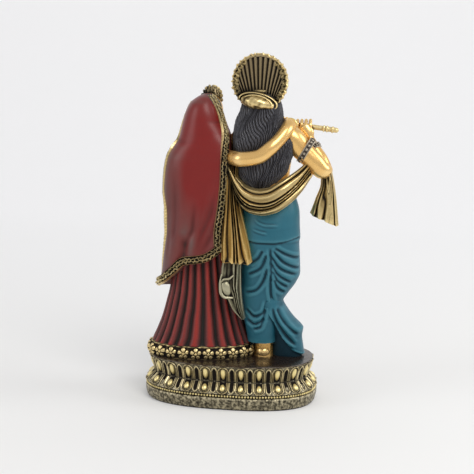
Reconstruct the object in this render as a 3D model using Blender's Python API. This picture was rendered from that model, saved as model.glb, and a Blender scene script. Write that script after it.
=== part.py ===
"""Radha and Krishna on a double lotus plinth: a cast statuette, modelled as one closed solid.

The origin is the centre of the plinth's underside. +Z is up. The figures face -Y, so the draped
backs look along +Y. Radha stands at +X and Krishna at -X.

The script works in millimetres and turns each point into metres when its mesh is made. The plinth
has its own sizes. The figures are drawn at a height of DRAWN_HEIGHT above a plate at DRAWN_PLATE,
and stand on the real plinth at the height that FIGURES_HEIGHT gives.
"""

import math

import bmesh
import bpy
import numpy as np

MM = 0.001

# Plinth
PLINTH_HALF_LENGTH = 67.5
PLINTH_HALF_WIDTH = 46.5
PLINTH_HEIGHT = 34.0
PLINTH_POWER = 2.5
PLINTH_PETALS = 24
PETAL_RISE = 0.9
PETAL_GROOVE = 0.9
PLINTH_PROFILE = (
    # share of the height, inset from the widest line
    (0.00, 2.6),
    (0.05, 1.2),
    (0.27, 0.0),
    (0.33, 0.9),
    (0.38, 0.9),
    (0.50, 2.7),
    (0.615, 6.6),
    (0.72, 6.0),
    (0.92, 3.9),
    (0.97, 3.2),
    (1.00, 3.5),
)
WAIST_SHARE = 0.615
CARVED_SHARES = (0.38, 0.97)

# Figures, from the plate to the top of the crown
FIGURES_HEIGHT = 236.0
DRAWN_HEIGHT = 236.0
DRAWN_PLATE = 34.0

# Upright forms: height, left, right, back, front, middle and roundness
SKIRT = (
    (30, 65.0, -17.0, 27.0, -27.0, 0.0, 2.3),
    (38, 65.5, -17.5, 27.5, -27.5, 0.0, 2.3),
    (43, 63.0, -15.0, 25.5, -25.5, 0.0, 2.3),
    (52, 59.0, -11.5, 23.5, -24.0, -0.5, 2.2),
    (62, 55.3, -8.0, 21.5, -22.5, -1.0, 2.2),
    (74, 52.2, -5.0, 19.5, -21.0, -1.5, 2.1),
    (86, 49.5, -2.0, 18.0, -20.0, -2.0, 2.1),
    (105, 47.5, 1.5, 16.5, -19.0, -2.0, 2.1),
    (130, 45.5, 5.0, 14.0, -18.0, -2.5, 2.0),
    (150, 40.0, 10.5, 9.0, -15.5, -3.0, 2.0),
    (160, 37.5, 13.0, 7.0, -14.0, -3.0, 2.0),
)
SKIRT_TURN = 10.0
SKIRT_CENTRE = (24.0, 0.0)
SKIRT_PLEATS = 24
PLEAT_DEPTH = 1.9
SKIRT_RINGS = (32.5, 35, 39, 43, 44.5, 60, 80, 104, 130, 159)
SKIRT_FADE = ((30, 0.4), (43, 0.4), (44.5, 1.0), (104, 0.7), (159, 0.2))
VEIL = (
    (86, 58.8, 4.0, 24.5, -5.0, 3.0, 2.3),
    (97, 56.7, 4.5, 24.0, -5.0, 3.0, 2.3),
    (111, 55.2, 5.5, 23.0, -5.0, 3.0, 2.4),
    (120, 54.2, 5.8, 22.3, -5.0, 3.0, 2.4),
    (132, 53.3, 6.4, 21.5, -5.0, 3.0, 2.4),
    (148, 53.6, 4.8, 20.7, -5.0, 3.0, 2.4),
    (164, 55.0, 3.3, 20.2, -6.0, 3.0, 2.4),
    (178, 54.5, 2.7, 19.6, -7.0, 2.0, 2.4),
    (188, 53.0, 2.8, 18.8, -7.0, 1.0, 2.4),
    (196, 49.4, 3.0, 17.7, -7.0, 0.0, 2.3),
    (202, 45.3, 3.5, 16.6, -7.0, -1.0, 2.2),
    (207, 44.2, 4.6, 15.6, -8.0, -2.0, 2.1),
    (216.5, 42.3, 8.6, 14.0, -10.0, -3.0, 2.0),
    (224, 40.3, 11.3, 12.5, -11.0, -4.0, 2.0),
    (231, 36.8, 14.8, 9.5, -11.0, -5.0, 2.0),
    (235.5, 31.0, 18.0, 4.0, -10.0, -5.5, 2.0),
    (238, 26.0, 21.5, -2.5, -7.5, -5.5, 2.0),
)
VEIL_TOP = 238.0
VEIL_CORNER = ((86, 8.0), (188, 8.0), (198, 4.5), (208, 2.8), (217, 2.1), (238, 2.0))
VEIL_HEM = ((-90, 121), (-55, 117), (-20, 110), (10, 107), (30, 99), (55, 91), (90, 86))
VEIL_RING_SHARES = (0.0, 0.02, 0.05, 0.1, 0.16, 0.24, 0.3, 0.36, 0.45, 0.58, 0.75, 0.9, 1.0)
BRAID_WIDTH = 6.5
BRAID_THICKNESS = 1.0
BRAID_OUTER = ((86, 0.4), (200, 0.4), (225, 0.2), (238, 0.2))
BRAID_INNER = ((86, 6.5), (198, 6.5), (210, 3.5), (225, 2.5), (238, 2.5))
RADHA_MIDDLE = (28.0, 0.0, 0.0)
DHOTI = (
    (45, -12.5, -34.5, 12.5, -12.0, 1.0, 2.2),
    (50, -12.0, -35.0, 13.5, -13.0, 1.0, 2.2),
    (60, -10.0, -36.5, 14.5, -14.0, 1.0, 2.2),
    (70, -7.5, -38.0, 15.0, -15.0, 0.0, 2.2),
    (78.5, -6.0, -39.4, 15.5, -15.5, 0.0, 2.2),
    (85, -5.5, -43.4, 16.5, -16.0, 0.0, 2.2),
    (94, -6.0, -49.4, 17.5, -16.0, 0.0, 2.2),
    (101.5, -5.5, -52.0, 18.5, -16.0, 0.0, 2.2),
    (117, -5.0, -51.4, 20.5, -15.5, 0.0, 2.2),
    (126, -4.5, -51.0, 21.0, -15.0, 0.0, 2.2),
    (129, -4.0, -51.6, 22.0, -15.0, 0.0, 2.2),
    (138, -4.0, -51.0, 21.5, -15.0, 0.0, 2.2),
    (148, -4.5, -50.5, 19.0, -14.5, 0.0, 2.2),
    (158, -6.0, -48.1, 15.5, -13.5, 0.0, 2.2),
    (166, -9.0, -43.0, 11.5, -12.5, 0.0, 2.2),
)
TAIL = (
    (30, -30.0, -55.0, 2.5, -16.0, -6.0, 2.3),
    (36, -30.0, -56.5, 4.5, -17.0, -6.0, 2.3),
    (42, -30.0, -55.8, 6.0, -17.0, -5.0, 2.3),
    (50, -29.0, -54.8, 8.0, -16.0, -4.0, 2.2),
    (57, -28.0, -55.7, 10.5, -16.0, -3.0, 2.2),
    (60, -27.0, -53.5, 11.5, -16.0, -2.5, 2.2),
    (64, -25.0, -49.4, 12.5, -15.5, -2.0, 2.1),
    (71, -22.0, -43.9, 14.0, -15.0, -1.0, 2.0),
    (79, -20.0, -39.6, 14.5, -14.0, 0.0, 2.0),
    (88, -20.0, -39.0, 12.0, -12.0, 0.0, 2.0),
)
KRISHNA_TORSO = (
    (150, -9.0, -45.5, 13.5, -13.0, 0.0, 2.1),
    (166, -7.5, -42.0, 13.5, -12.5, 0.0, 2.1),
    (178, -3.0, -43.0, 13.5, -14.0, -0.5, 2.2),
    (190, 1.0, -43.5, 13.5, -15.5, -1.0, 2.2),
    (200, 3.0, -43.0, 12.5, -15.0, -1.0, 2.2),
    (207, 1.0, -40.0, 11.0, -12.5, -1.5, 2.1),
    (212, -7.0, -31.0, 7.5, -10.0, -2.0, 2.0),
    (216, -11.5, -25.5, 4.0, -9.0, -2.5, 2.0),
    (224, -12.0, -25.0, 4.0, -9.0, -2.5, 2.0),
)
RADHA_TORSO = (
    (150, 38.5, 12.0, 6.0, -16.0, -3.0, 2.1),
    (160, 36.5, 13.5, 6.0, -15.0, -3.0, 2.1),
    (172, 39.0, 11.5, 6.0, -17.5, -3.0, 2.1),
    (184, 42.5, 8.0, 6.0, -20.0, -3.0, 2.2),
    (194, 43.5, 6.5, 6.0, -17.0, -3.0, 2.2),
    (202, 40.0, 8.0, 5.0, -13.0, -3.0, 2.1),
    (207, 31.0, 13.0, 4.0, -11.0, -3.5, 2.0),
    (211, 26.5, 16.0, 2.0, -11.0, -4.0, 2.0),
    (218, 26.0, 16.5, 2.0, -11.0, -4.0, 2.0),
)
HAIR = (
    (167.5, -16.5, -24.5, 14.5, 4.0, 9.0, 2.0),
    (170.5, -10.5, -30.3, 16.5, 0.0, 7.0, 2.1),
    (175, -4.5, -36.1, 18.0, -2.0, 6.0, 2.2),
    (180.2, -1.2, -40.2, 18.5, -4.0, 5.0, 2.2),
    (186.5, 0.4, -42.1, 18.5, -5.0, 4.0, 2.2),
    (196, 1.2, -44.9, 18.0, -5.0, 3.0, 2.2),
    (202, 1.6, -45.7, 17.5, -4.0, 3.0, 2.2),
    (207.5, 1.8, -43.9, 17.0, -3.0, 2.0, 2.1),
    (212, 1.4, -39.5, 16.0, -3.0, 1.0, 2.1),
    (219, 0.0, -36.2, 14.5, -4.0, 0.0, 2.1),
    (226, -2.9, -35.2, 13.5, -5.0, -1.0, 2.1),
    (233, -4.6, -33.2, 12.0, -6.0, -2.0, 2.1),
    (240, -9.0, -28.0, 8.0, -8.0, -3.0, 2.0),
)
HAIR_LOCKS = 16
LOCK_DEPTH = 1.1
HAIR_RINGS = (167.5, 171, 176, 182, 189, 196, 203, 209, 216, 223, 231, 239)

# Limbs: x, y, z, half width and half depth
RADHA_RIGHT_ARM = (
    (14, 4, 194, 6.2, 6.2),
    (7, 9, 192, 6.0, 5.8),
    (0, 15.5, 190.6, 5.8, 5.5),
    (-8, 20.5, 190.6, 5.7, 5.3),
    (-20, 21.5, 192.8, 5.5, 5.2),
    (-29, 19.5, 199.5, 5.3, 5.0),
    (-36, 14, 207, 5.0, 4.8),
    (-40.5, 7, 214, 5.2, 4.6),
    (-41.5, -1, 217, 5.0, 4.2),
    (-40.5, -8, 214, 4.2, 3.0),
)
RADHA_LEFT_ARM = (
    (41, -6, 198, 6.5, 6.5),
    (46, -9, 187, 5.8, 5.8),
    (47.5, -13, 173, 5.2, 5.2),
    (40, -21, 172, 4.6, 4.6),
    (29, -26, 178, 3.6, 3.4),
    (24, -27.5, 181.5, 3.2, 3.0),
)
KRISHNA_RIGHT_ARM = (
    (-34, 0, 209, 8.6, 8.6),
    (-42, 0, 206.5, 9.2, 8.8),
    (-52, 0, 196.5, 8.2, 8.0),
    (-61, -0.5, 188, 7.6, 7.6),
    (-67, -2, 182, 6.9, 6.9),
    (-68.5, -5, 181.5, 6.3, 6.3),
    (-66.5, -8, 189, 5.8, 5.8),
    (-61, -11, 199.5, 4.4, 4.2),
    (-57.5, -12.5, 205.5, 3.6, 3.2),
)
KRISHNA_LEFT_ARM = (
    (-4, -2, 205, 8.0, 8.0),
    (0.5, -6, 199, 7.4, 7.4),
    (-1, -13, 188, 6.6, 6.6),
    (-4, -18.5, 181.5, 6.0, 6.0),
    (-12, -22, 190, 5.2, 5.2),
    (-21, -23.5, 201, 4.2, 4.0),
    (-26.5, -23.5, 208, 3.4, 3.2),
)
KRISHNA_RIGHT_PALM = (
    (-57.5, -12.5, 205.5, 3.6, 3.2),
    (-53, -13, 210, 5.0, 3.0),
    (-50.2, -13.4, 213.2, 5.4, 2.8),
)
KRISHNA_LEFT_PALM = (
    (-26.5, -23.5, 208, 3.4, 3.2),
    (-29.5, -24, 211.5, 4.8, 2.8),
    (-31.5, -24.3, 214.5, 5.0, 2.6),
)
KRISHNA_LEFT_FOOT = ((-25.2, 3, 37.5, 6.0, 5.0), (-25.5, -8, 38, 6.2, 5.4), (-26.5, -20, 36.5, 6.8, 3.6))
KRISHNA_RIGHT_FOOT = ((-50, -10, 44, 5.0, 4.6), (-48, -19, 39.5, 5.6, 4.0), (-46, -26, 36.0, 5.8, 3.0))
RADHA_LEFT_FOOT = ((32, -18, 36.5, 6.0, 4.2), (33, -31, 35.8, 6.2, 3.4))
RADHA_RIGHT_FOOT = ((13, -18, 36.5, 6.0, 4.2), (11, -32, 35.8, 6.2, 3.4))

# Fingers: the ends of the row of knuckles, then the ends of the row of tips
KRISHNA_RIGHT_FINGERS = (
    ((-55, -13.5, 212), (-45.6, -13.8, 213)),
    ((-55.0, -17.2, 219), (-45.2, -17.6, 218.6)),
)
KRISHNA_LEFT_FINGERS = (
    ((-28, -24.5, 214), (-36, -24.3, 213)),
    ((-28.2, -20.2, 220), (-36.4, -19.8, 219)),
)
RADHA_RIGHT_FINGERS = (
    ((-43.6, -7, 215.4), (-37, -8, 214.6)),
    ((-42.4, -14, 207.5), (-36.6, -15, 207)),
)
RADHA_LEFT_FINGERS = (
    ((27, -28, 182), (20.5, -29, 182.5)),
    ((26, -31, 189), (20.5, -32, 189)),
)
FINGER_RADIUS = 1.7
FINGER_BEND = (0.0, 1.2, 0.6)

# Flute and the rings on arms and ankle, written as the limbs are
FLUTE = ((-14, -19.8, 217.4, 2.1, 2.1), (-75.4, -15.5, 211.7, 2.15, 2.15))
FLUTE_RING = ((-70.4, -15.8, 212.1, 2.8, 2.8), (-67.6, -16.0, 212.4, 2.8, 2.8))
ARMLET = ((-52.2, -0.2, 198.0, 9.2, 9.0), (-56.4, -0.3, 193.6, 8.9, 8.8))
WRISTLET = ((-62.6, -10.2, 197.2, 5.7, 5.4), (-60.4, -11.3, 201.2, 5.4, 5.0))
ANKLE = ((-25.2, 0.5, 30, 7.6, 7.2), (-25.2, 0.5, 37, 7.2, 6.8), (-25.2, 0.5, 52, 7.4, 7.0))

# Scarf: edges as x, y, z points from one end to the other
SWAG_UPPER = (
    (3, 16, 186), (-5.2, 18.5, 175.5), (-11.4, 19.5, 170.4), (-20, 20, 168.4), (-27.6, 20, 169.4),
    (-36, 18.5, 174.0), (-43.5, 14.5, 178.8), (-50.2, 8, 183.8), (-55.5, 2, 188.6),
)
SWAG_LOWER = (
    (1, 17, 176), (-3.2, 21, 163.5), (-8.5, 22.5, 154.8), (-15.5, 23.5, 150.0), (-24.5, 24, 148.6),
    (-34, 22.5, 150.5), (-43.8, 18, 156.6), (-52.6, 10, 165.6), (-60, 2, 177.5),
)
BUNDLE_LEFT = ((4.5, 13, 192), (5, 17, 176), (5, 18.5, 160), (6, 20, 140), (6.5, 22, 122), (6.5, 22.5, 112))
BUNDLE_RIGHT = (
    (-4, 14, 190), (-4.6, 18, 174), (-6, 20, 160), (-11.2, 22, 140), (-15.8, 22, 122), (-17.6, 21.5, 111),
)
FALL_LEFT = (
    (4, 19, 118), (6.4, 20.5, 106), (6.8, 22, 92), (1.8, 22.5, 84), (-3.4, 21, 73), (-10.5, 19.5, 66),
)
FALL_RIGHT = (
    (-9, 18, 118), (-8.6, 19, 106), (-9, 20, 92), (-9.6, 20, 84), (-11, 19, 73), (-12.0, 18.5, 66),
)
DROP_LEFT = ((-66, -3, 184), (-66, -2.5, 172), (-62.4, -2, 160), (-58.4, -1.5, 148))
DROP_RIGHT = ((-73, -3, 186), (-76.2, -2.5, 173), (-78.8, -2, 158), (-81.0, -1.5, 139))
SCARF_STRIPS = (
    # name, edges, rows, thickness, bulge, pleats, pleat depth
    ("scarf_swag", (SWAG_UPPER, SWAG_LOWER), 12, 8.0, 3.0, 5, 1.6),
    ("scarf_bundle", (BUNDLE_LEFT, BUNDLE_RIGHT), 8, 8.0, 2.5, 5, 1.8),
    ("scarf_fall", (FALL_LEFT, FALL_RIGHT), 8, 6.0, 1.5, 3, 1.6),
    ("scarf_drop", (DROP_LEFT, DROP_RIGHT), 7, 5.0, 2.0, 4, 1.6),
)

# Deep folds of the dhoti, drawn on its back as x and z points
DHOTI_FOLDS = (
    ((-27.6, 124.5), (-24.5, 119), (-18, 112)),
    ((-28.8, 118), (-25.5, 111.5), (-17.5, 104)),
    ((-29.5, 107), (-26.8, 96), (-22.0, 89.5), (-13.5, 86.5)),
    ((-30.0, 80), (-27.6, 71), (-22.0, 66.8), (-13.5, 66.5)),
    ((-29.5, 67), (-25.5, 60.5), (-20.9, 58.5), (-15.5, 60.0)),
    ((-33, 126.5), (-39.5, 118.5), (-49.5, 107.5)),
    ((-35, 127.5), (-42.5, 120.8), (-49.2, 116)),
    ((-31.2, 115.3), (-36.1, 108), (-48, 99.5)),
    ((-31.8, 108.5), (-37.5, 101.5), (-45, 95.5)),
    ((-33, 100.5), (-37, 95), (-41.5, 90)),
    ((-30.3, 121), (-31.3, 103), (-31.3, 87), (-33.4, 72)),
)
TAIL_FOLDS = (
    ((-33, 76), (-36, 65), (-42.5, 54), (-51.5, 43)),
    ((-36, 76), (-40.5, 67), (-46.5, 59), (-53, 52)),
    ((-32, 62), (-36, 53), (-43, 45), (-50, 39)),
)
FOLD_RADIUS = 1.5
FOLD_TAPER = (0.5, 0.8, 1.0, 1.0, 1.0, 1.0, 1.0, 0.8, 0.5)

# Crown: a fan of ribs that spread from a hub to a round rim, and the cap at its foot
CROWN_CENTRE = (-18.1, 3.5, 248.8)
CROWN_RADIUS = 21.4
CROWN_HUB = (-18.6, 231.0)
CROWN_RIBS = 30
CROWN_THICKNESS = 5.0
RIB_DEPTH = 0.8
CROWN_STATIONS = (
    # share of the way to the rim, depth, rib relief, rim teeth
    (0.30, -0.5, 0.0, 0.0),
    (0.92, -0.5, 0.0, 0.0),
    (1.00, -0.15, 0.0, 1.0),
    (1.00, 0.15, 0.0, 1.0),
    (0.92, 0.5, 1.0, 0.0),
    (0.30, 0.5, 1.0, 0.0),
)
CROWN_TEETH = 0.02
CAP_CENTRE = (-17.2, 8.5, 234.2)
CAP_REACH = (13.0, 7.5, 5.6)
CAP_TILT = 11.0

# Round forms: centre and reach
BALLS = (
    ("radha_tiara", (20.8, -11.5, 234.0), (8.2, 3.6, 8.8)),
    ("radha_bun", (22.0, -1.0, 224.0), (9.5, 9.0, 11.0)),
    ("krishna_crown_bowl", (-18.3, -5.0, 239.5), (12.4, 11.5, 8.0)),
    ("krishna_crown_leaf", (-18.3, -14.5, 243.5), (6.2, 3.2, 9.5)),
    ("lotus_bud", (23.2, -29.5, 189.5), (4.0, 4.0, 6.0)),
)

# Heads: centre, reach and turn
KRISHNA_HEAD = ((-18.3, -5.0, 227.0), (10.6, 12.6, 14.6), 0.0)
RADHA_HEAD = ((21.5, -7.5, 224.5), (9.8, 11.6, 13.4), 25.0)

# Skin of the figures: its grain, and the share of its facets that stay
SKIN_GRAIN = 0.8
SKIN_FACETS = 0.019

# Paint
RESIN_COLOUR = (0.30, 0.16, 0.10, 1.0)
RESIN_ROUGHNESS = 0.45
RESIN_METALLIC = 0.2


def smooth(knots, values, at):
    """Values on a curve through the knots that is smooth and never overshoots between them."""
    knots = np.asarray(knots, float)
    values = np.asarray(values, float).reshape(len(knots), -1)
    steps = np.diff(knots)
    slopes = np.diff(values, axis=0) / steps[:, None]
    tangents = np.zeros_like(values)
    tangents[0] = slopes[0]
    tangents[-1] = slopes[-1]
    product = slopes[:-1] * slopes[1:]
    total = slopes[:-1] + slopes[1:]
    safe = np.where(np.abs(total) < 1e-12, 1.0, total)
    tangents[1:-1] = np.where(product > 0, 2 * product / safe, 0.0)
    shape = np.shape(at)
    at = np.clip(np.ravel(at), knots[0], knots[-1])
    index = np.clip(np.searchsorted(knots, at, side="right") - 1, 0, len(steps) - 1)
    step = steps[index][:, None]
    t = ((at - knots[index]) / steps[index])[:, None]
    result = (
        values[index] * (1 + 2 * t) * (1 - t) ** 2
        + values[index + 1] * t * t * (3 - 2 * t)
        + tangents[index] * step * t * (1 - t) ** 2
        - tangents[index + 1] * step * t * t * (1 - t)
    )
    return result.reshape(shape + (values.shape[1],))


def along(points, count):
    """Evenly spread points on a smooth curve through a few points."""
    points = np.asarray(points, float)
    gaps = np.linalg.norm(np.diff(points[:, :3], axis=0), axis=1)
    knots = np.concatenate(([0.0], np.cumsum(gaps)))
    return smooth(knots, points, np.linspace(0, knots[-1], count))


def signed_power(value, power):
    return np.sign(value) * np.abs(value) ** power


def upright(track, heights, angles, corner=None):
    """Rings of an upright form. Angle 0 looks to the back, 90 degrees to the left.

    A corner table gives the right side its own roundness: heights and powers.
    """
    table = np.asarray(sorted(track), float)
    heights = np.broadcast_to(heights, (heights.shape[0], len(angles)))
    left, right, back, front, middle, power = np.moveaxis(
        smooth(table[:, 0], table[:, 1:], heights), -1, 0
    )
    sine = np.sin(angles)[None, :]
    cosine = np.cos(angles)[None, :]
    x = (left + right) / 2 + (left - right) / 2 * signed_power(sine, 2 / power)
    depth = np.where(cosine > 0, back - middle, middle - front)
    share = signed_power(cosine, 2 / power)
    if corner is not None:
        square = np.asarray(corner, float)
        square = np.interp(heights, square[:, 0], square[:, 1])
        aside = np.abs(sine) ** (2 / power)
        boxed = np.sign(cosine) * np.maximum(1 - aside ** square, 0) ** (1 / square)
        share = np.where(sine < 0, boxed, share)
    return np.stack((x, middle + depth * share, heights), axis=-1)


def back_of(track, x, z):
    """Depth of an upright form's back surface at x and z."""
    table = np.asarray(sorted(track), float)
    left, right, back, front, middle, power = smooth(table[:, 0], table[:, 1:], np.array([z]))[0]
    share = min(abs(x - (left + right) / 2) / ((left - right) / 2), 1.0)
    return middle + (back - middle) * (1 - share ** power) ** (1 / power)


def turned(grid, degrees, centre):
    """The grid turned about a vertical line, from +X towards +Y."""
    angle = math.radians(degrees)
    x = grid[..., 0] - centre[0]
    y = grid[..., 1] - centre[1]
    result = grid.copy()
    result[..., 0] = centre[0] + x * math.cos(angle) - y * math.sin(angle)
    result[..., 1] = centre[1] + x * math.sin(angle) + y * math.cos(angle)
    return result


def outward(grid, amount):
    """The grid with each point moved away from its ring's middle by its own amount."""
    middle = grid.mean(axis=1, keepdims=True)
    away = grid - middle
    away[..., 2] = 0
    away /= np.linalg.norm(away, axis=-1, keepdims=True) + 1e-9
    return grid + away * amount[..., None]


def tube(path, sides, rows, rounded=True):
    """Rings square to a smooth path, with rounded ends. Path points hold half width and half depth."""
    line = along(path, rows)
    centre = line[:, :3]
    reach = line[:, 3:5]
    forward = np.gradient(centre, axis=0)
    forward /= np.linalg.norm(forward, axis=1, keepdims=True)
    if rounded:
        first = centre[0] - forward[0] * reach[0].mean() * np.array([[0.85], [0.5]])
        last = centre[-1] + forward[-1] * reach[-1].mean() * np.array([[0.5], [0.85]])
        centre = np.concatenate((first, centre, last))
        start = reach[0] * np.array([[0.45], [0.85]])
        end = reach[-1] * np.array([[0.85], [0.45]])
        reach = np.concatenate((start, reach, end))
        forward = np.concatenate((forward[:1], forward[:1], forward, forward[-1:], forward[-1:]))
    deep = np.array([0.0, 1.0, 0.0])
    rings = []
    for point, size, ahead in zip(centre, reach, forward):
        side = np.cross(ahead, deep)
        if np.linalg.norm(side) < 0.3:
            side = np.array([1.0, 0.0, 0.0])
        side -= ahead * np.dot(side, ahead)
        side /= np.linalg.norm(side)
        deep = np.cross(side, ahead)
        angles = np.linspace(0, 2 * math.pi, sides, endpoint=False)
        ring = (
            point
            + np.cos(angles)[:, None] * size[0] * side
            + np.sin(angles)[:, None] * size[1] * deep
        )
        rings.append(ring)
    return np.array(rings)


def ribbon(edge_a, edge_b, rows, thickness, bulge, pleats, pleat_depth):
    """A pleated strip of cloth between two edges, as a closed band of the given thickness."""
    first = along(edge_a, rows)
    second = along(edge_b, rows)
    out = np.array([0.0, 1.0, 0.0])
    columns = 2 * pleats + 1
    across = np.linspace(0, 1, columns)
    ridge = np.where(np.arange(columns) % 2 == 1, 0.5, -0.5) * pleat_depth
    arch = np.sqrt(np.maximum(1 - (2 * across - 1) ** 2, 0)) * bulge
    rings = []
    for start, end in zip(first, second):
        face = start + (end - start) * across[:, None] + out * (arch + ridge)[:, None]
        behind = start + (end - start) * np.array([0.92, 0.5, 0.08])[:, None] - out * thickness
        rings.append(np.concatenate((face, behind)))
    return np.array(rings)


def ball(centre, reach, sides, rows):
    """Rings of an ellipsoid from its foot to its top."""
    tilt = np.linspace(-math.pi / 2, math.pi / 2, rows + 2)[1:-1]
    angles = np.linspace(0, 2 * math.pi, sides, endpoint=False)
    x = centre[0] + reach[0] * np.cos(tilt)[:, None] * np.sin(angles)[None, :]
    y = centre[1] + reach[1] * np.cos(tilt)[:, None] * np.cos(angles)[None, :]
    z = centre[2] + reach[2] * np.sin(tilt)[:, None] + 0 * x
    return np.stack((x, y, z), axis=-1)


def bump(x, z, at_x, at_z, wide, tall):
    return np.exp(-((x - at_x) / wide) ** 2 - ((z - at_z) / tall) ** 2)


def head(centre, reach, turn, sides, rows):
    """A plain head with brow, nose, lips and chin, its face towards -Y before the turn."""
    grid = ball((0, 0, 0), (1, 1, 1), sides, rows)
    x = grid[..., 0]
    z = grid[..., 2]
    front = np.clip(-grid[..., 1] * 2, 0, 1)
    relief = (
        0.20 * bump(x, z, 0, -0.10, 0.14, 0.20)
        + 0.10 * bump(x, z, 0, 0.15, 0.12, 0.25)
        - 0.10 * bump(np.abs(x), z, 0.36, 0.10, 0.20, 0.14)
        + 0.07 * bump(x, z, 0, -0.45, 0.24, 0.10)
        + 0.08 * bump(x, z, 0, -0.80, 0.28, 0.16)
        - 0.05 * bump(x, z, 0, -0.62, 0.30, 0.07)
    )
    grid[..., 1] -= relief * front
    narrow = 1 - 0.22 * np.clip(-z, 0, 1) ** 1.5
    grid[..., 0] *= narrow
    grid = grid * np.asarray(reach, float)
    grid = turned(grid, -turn, (0, 0))
    return grid + np.asarray(centre, float)


def ring_faces(rows, columns, first):
    """Triangles between the rings of one form, and fans to the middle of each end."""
    faces = []
    for row in range(rows - 1):
        for column in range(columns):
            after = (column + 1) % columns
            a = first + row * columns + column
            b = first + row * columns + after
            c = first + (row + 1) * columns + after
            d = first + (row + 1) * columns + column
            if column % 2 == 0:
                faces.extend(((a, b, c), (a, c, d)))
            else:
                faces.extend(((a, b, d), (b, c, d)))
    foot = first + rows * columns
    last = first + (rows - 1) * columns
    for column in range(columns):
        after = (column + 1) % columns
        faces.append((foot, first + after, first + column))
        faces.append((foot + 1, last + column, last + after))
    return faces


def solid_mesh(name, grids):
    """One mesh of closed forms, each made from its rings of points."""
    points = []
    faces = []
    for grid in grids:
        rows, columns, _ = grid.shape
        faces.extend(ring_faces(rows, columns, len(points)))
        points.extend((grid.reshape(-1, 3) * MM).tolist())
        points.append((grid[0].mean(axis=0) * MM).tolist())
        points.append((grid[-1].mean(axis=0) * MM).tolist())
    mesh = bpy.data.meshes.new(name)
    mesh.from_pydata(points, [], faces)
    work = bmesh.new()
    work.from_mesh(mesh)
    bmesh.ops.recalc_face_normals(work, faces=work.faces[:])
    work.to_mesh(mesh)
    work.free()
    return mesh


def figures_mesh():
    """All forms of the two figures at their real height, standing on the plinth."""
    unit = FIGURES_HEIGHT / DRAWN_HEIGHT
    lift = np.array([0, 0, PLINTH_HEIGHT - DRAWN_PLATE * unit])
    return solid_mesh("figures", [grid * unit + lift for _, grid in figure_forms()])


def even_angles(count, half_length, half_width, power):
    """Angles of points spread evenly along a rounded oval, from the middle of its back."""
    fine = np.linspace(0, 2 * math.pi, 2881)
    x = half_length * signed_power(np.sin(fine), 2 / power)
    y = half_width * signed_power(np.cos(fine), 2 / power)
    walked = np.concatenate(([0.0], np.cumsum(np.hypot(np.diff(x), np.diff(y)))))
    wanted = np.linspace(0, walked[-1], count, endpoint=False)
    return np.interp(wanted, walked, fine)


def plinth_grid():
    """The lotus plinth: a rounded oval whose two rows of petals meet at a waist."""
    per_petal = 4
    columns = PLINTH_PETALS * per_petal
    angles = even_angles(columns, PLINTH_HALF_LENGTH, PLINTH_HALF_WIDTH, PLINTH_POWER)
    place = np.arange(columns) % per_petal
    low, high = CARVED_SHARES
    pattern = np.select((place == 2, place == 0), (-PETAL_GROOVE, PETAL_RISE), PETAL_RISE * 0.5)
    rings = []
    for share, inset in PLINTH_PROFILE:
        carved = low < share < high and share != WAIST_SHARE
        relief = pattern if carved else np.zeros(columns)
        length = PLINTH_HALF_LENGTH - inset + relief
        width = PLINTH_HALF_WIDTH - inset + relief
        x = length * signed_power(np.sin(angles), 2 / PLINTH_POWER)
        y = width * signed_power(np.cos(angles), 2 / PLINTH_POWER)
        rings.append(np.stack((x, y, np.full(columns, share * PLINTH_HEIGHT)), axis=-1))
    return np.array(rings)


def skirt_grid():
    """Radha's skirt: straight pleats that flare to a banded hem."""
    per_pleat = 3
    columns = SKIRT_PLEATS * per_pleat
    angles = np.arange(columns) * 2 * math.pi / columns
    heights = np.array(SKIRT_RINGS)[:, None]
    grid = upright(SKIRT, heights, angles)
    fade = np.interp(heights, *zip(*SKIRT_FADE))
    groove = np.where(np.arange(columns) % per_pleat == 0, -PLEAT_DEPTH, 0.2)[None, :]
    grid = outward(grid, fade * groove)
    return turned(grid, SKIRT_TURN, SKIRT_CENTRE)


def veil_heights(angles, shares):
    degrees = np.degrees((angles + math.pi) % (2 * math.pi) - math.pi)
    table = np.asarray(VEIL_HEM, float)
    hem = smooth(table[:, 0], table[:, 1:], np.clip(degrees, -90, 90))[:, 0]
    return VEIL_TOP + (hem[None, :] - VEIL_TOP) * shares[:, None]


def veil_grid():
    """Radha's veil: a smooth fall of cloth from the crown of her head to a slanting hem."""
    columns = 36
    angles = np.arange(columns) * 2 * math.pi / columns
    heights = veil_heights(angles, np.array(VEIL_RING_SHARES))
    return upright(VEIL, heights, angles, VEIL_CORNER)


def veil_edge(heights, inwards):
    """Points on the veil's back, a way in from its right edge."""
    table = np.asarray(sorted(VEIL), float)
    left, right, back, _, middle, _ = smooth(table[:, 0], table[:, 1:], heights).T
    square = np.interp(heights, *zip(*VEIL_CORNER))
    aside = 1 - inwards / ((left - right) / 2)
    share = (1 - aside ** square) ** (1 / square)
    return np.stack((right + inwards, middle + (back - middle) * share, heights), axis=-1)


def hem_braid():
    """The braid along the veil's hem, as its lower and upper line of points."""
    angles = np.radians(np.linspace(-88, 88, 15))
    hem = upright(VEIL, veil_heights(angles, np.array([1.0])), angles, VEIL_CORNER)[0]
    return hem, hem + np.array([0, 0, BRAID_WIDTH])


def side_braid():
    """The braid along the veil's right edge, as its outer and inner line of points."""
    heights = np.linspace(233, 119, 12)
    outer = veil_edge(heights, np.interp(heights, *zip(*BRAID_OUTER)))
    inner = veil_edge(heights, np.interp(heights, *zip(*BRAID_INNER)))
    return outer, inner


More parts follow.
